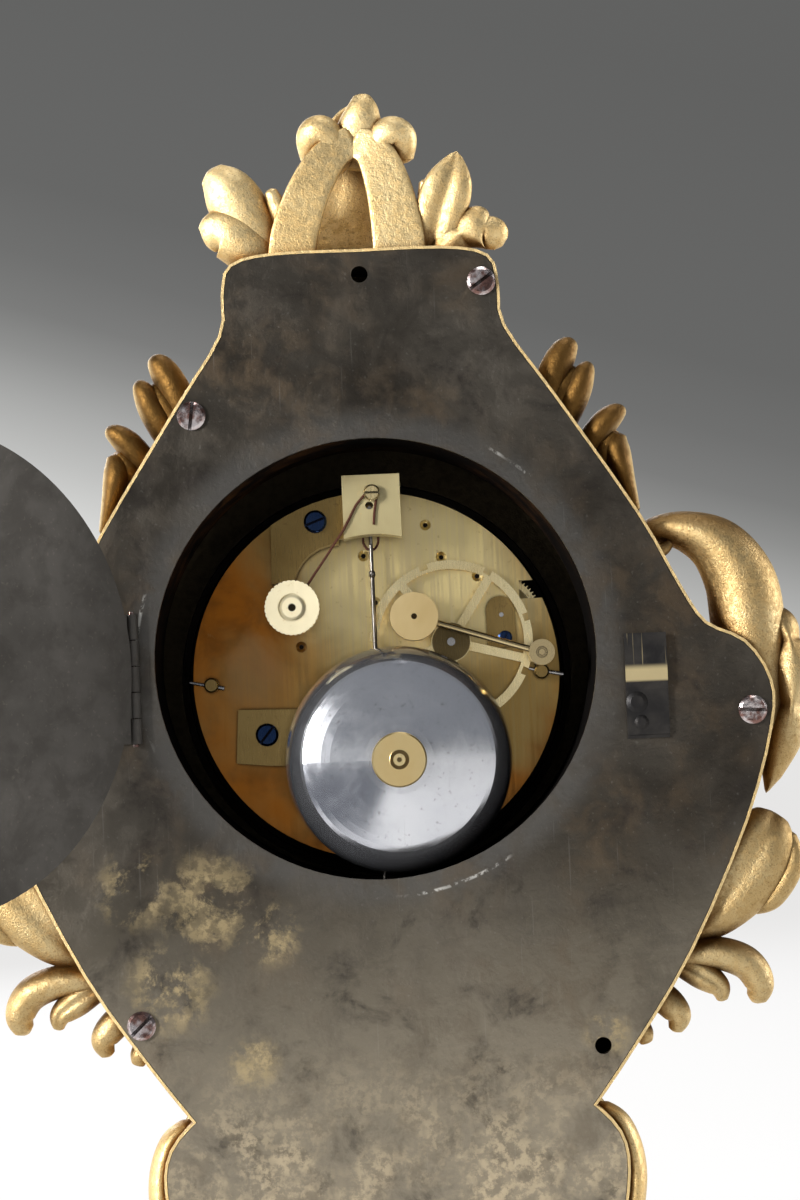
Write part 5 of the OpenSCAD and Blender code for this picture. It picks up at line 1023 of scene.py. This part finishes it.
def spoke_quads(turn, foot, head, width, inner, outer):
    """Quads of strokes along a radius: foot and head are offsets across it, inner and outer its two ends."""
    half = width / 2
    return np.stack([on_dial(turn, inner, foot - half), on_dial(turn, outer, head - half),
                     on_dial(turn, outer, head + half), on_dial(turn, inner, foot + half)], axis=1)


black_enamel, t, shader, at = finish("black_dial_paint", Coat_Weight=0.4, Coat_Roughness=0.1)
worn = noise(t, at, 900.0, 3.0, 0.6)
colour = tint(t, stepped(t, worn, 0.5, 0.75), PAINT_BLACK, PAINT_WORN)
feed(t, shader, colour, between(t, worn, 0.2, 0.4))
quads = []
for hour, word in enumerate(HOURS):
    turn = math.radians(30 * hour)
    foot, head, width = hour_strokes(word)
    quads.append(spoke_quads(turn, foot * FIGURE_H, head * FIGURE_H, width, FIGURE_IN, FIGURE_OUT))
    # Fine serifs close the figure at its foot and head
    half = (np.abs([foot, head]).max() + SERIF_REACH) * FIGURE_H
    ends = np.array([FIGURE_IN, FIGURE_OUT])
    quads.append(spoke_quads(turn, 0.0, 0.0, 2 * half, ends - FINE / 2, ends + FINE / 2))
painted("dial_hours", np.concatenate(quads), black_enamel)

minute = np.arange(60)
bar_width = np.where(minute % 5 == 0, FIVE_MINUTE, FINE)
bars = spoke_quads(minute * math.tau / 60, 0.0, 0.0, bar_width, MINUTE_IN, MINUTE_OUT)
step = math.tau / RING_STEPS
turns = np.arange(RING_STEPS) * step
rings = [np.stack([on_dial(turns, r - RING_HALF), on_dial(turns, r + RING_HALF),
                   on_dial(turns + step, r + RING_HALF), on_dial(turns + step, r - RING_HALF)], axis=1)
         for r in (MINUTE_IN, MINUTE_OUT)]
painted("dial_minutes", np.concatenate([bars] + rings), black_enamel)


# Hands and bezel: pierced gilt hands on the motion work's pipes, and a gilt cast bezel, hinged to the case,
# with a domed glass sprung into it.
GLASS_TINT, GLASS_IOR = (0.97, 0.985, 0.98, 1.0), 1.45
dress(gilt, "minute_hand", "hour_hand", "bezel_ring")
glass, t, shader, at = finish("domed_glass", Base_Color=GLASS_TINT, IOR=GLASS_IOR, Transmission_Weight=1.0)
dust = noise(t, at, 140.0, 4.0, 0.7)
feed(t, shader, None, stepped(t, dust, 0.3, 0.8, 0.0, 0.06))
dress(glass, "bezel_glass")
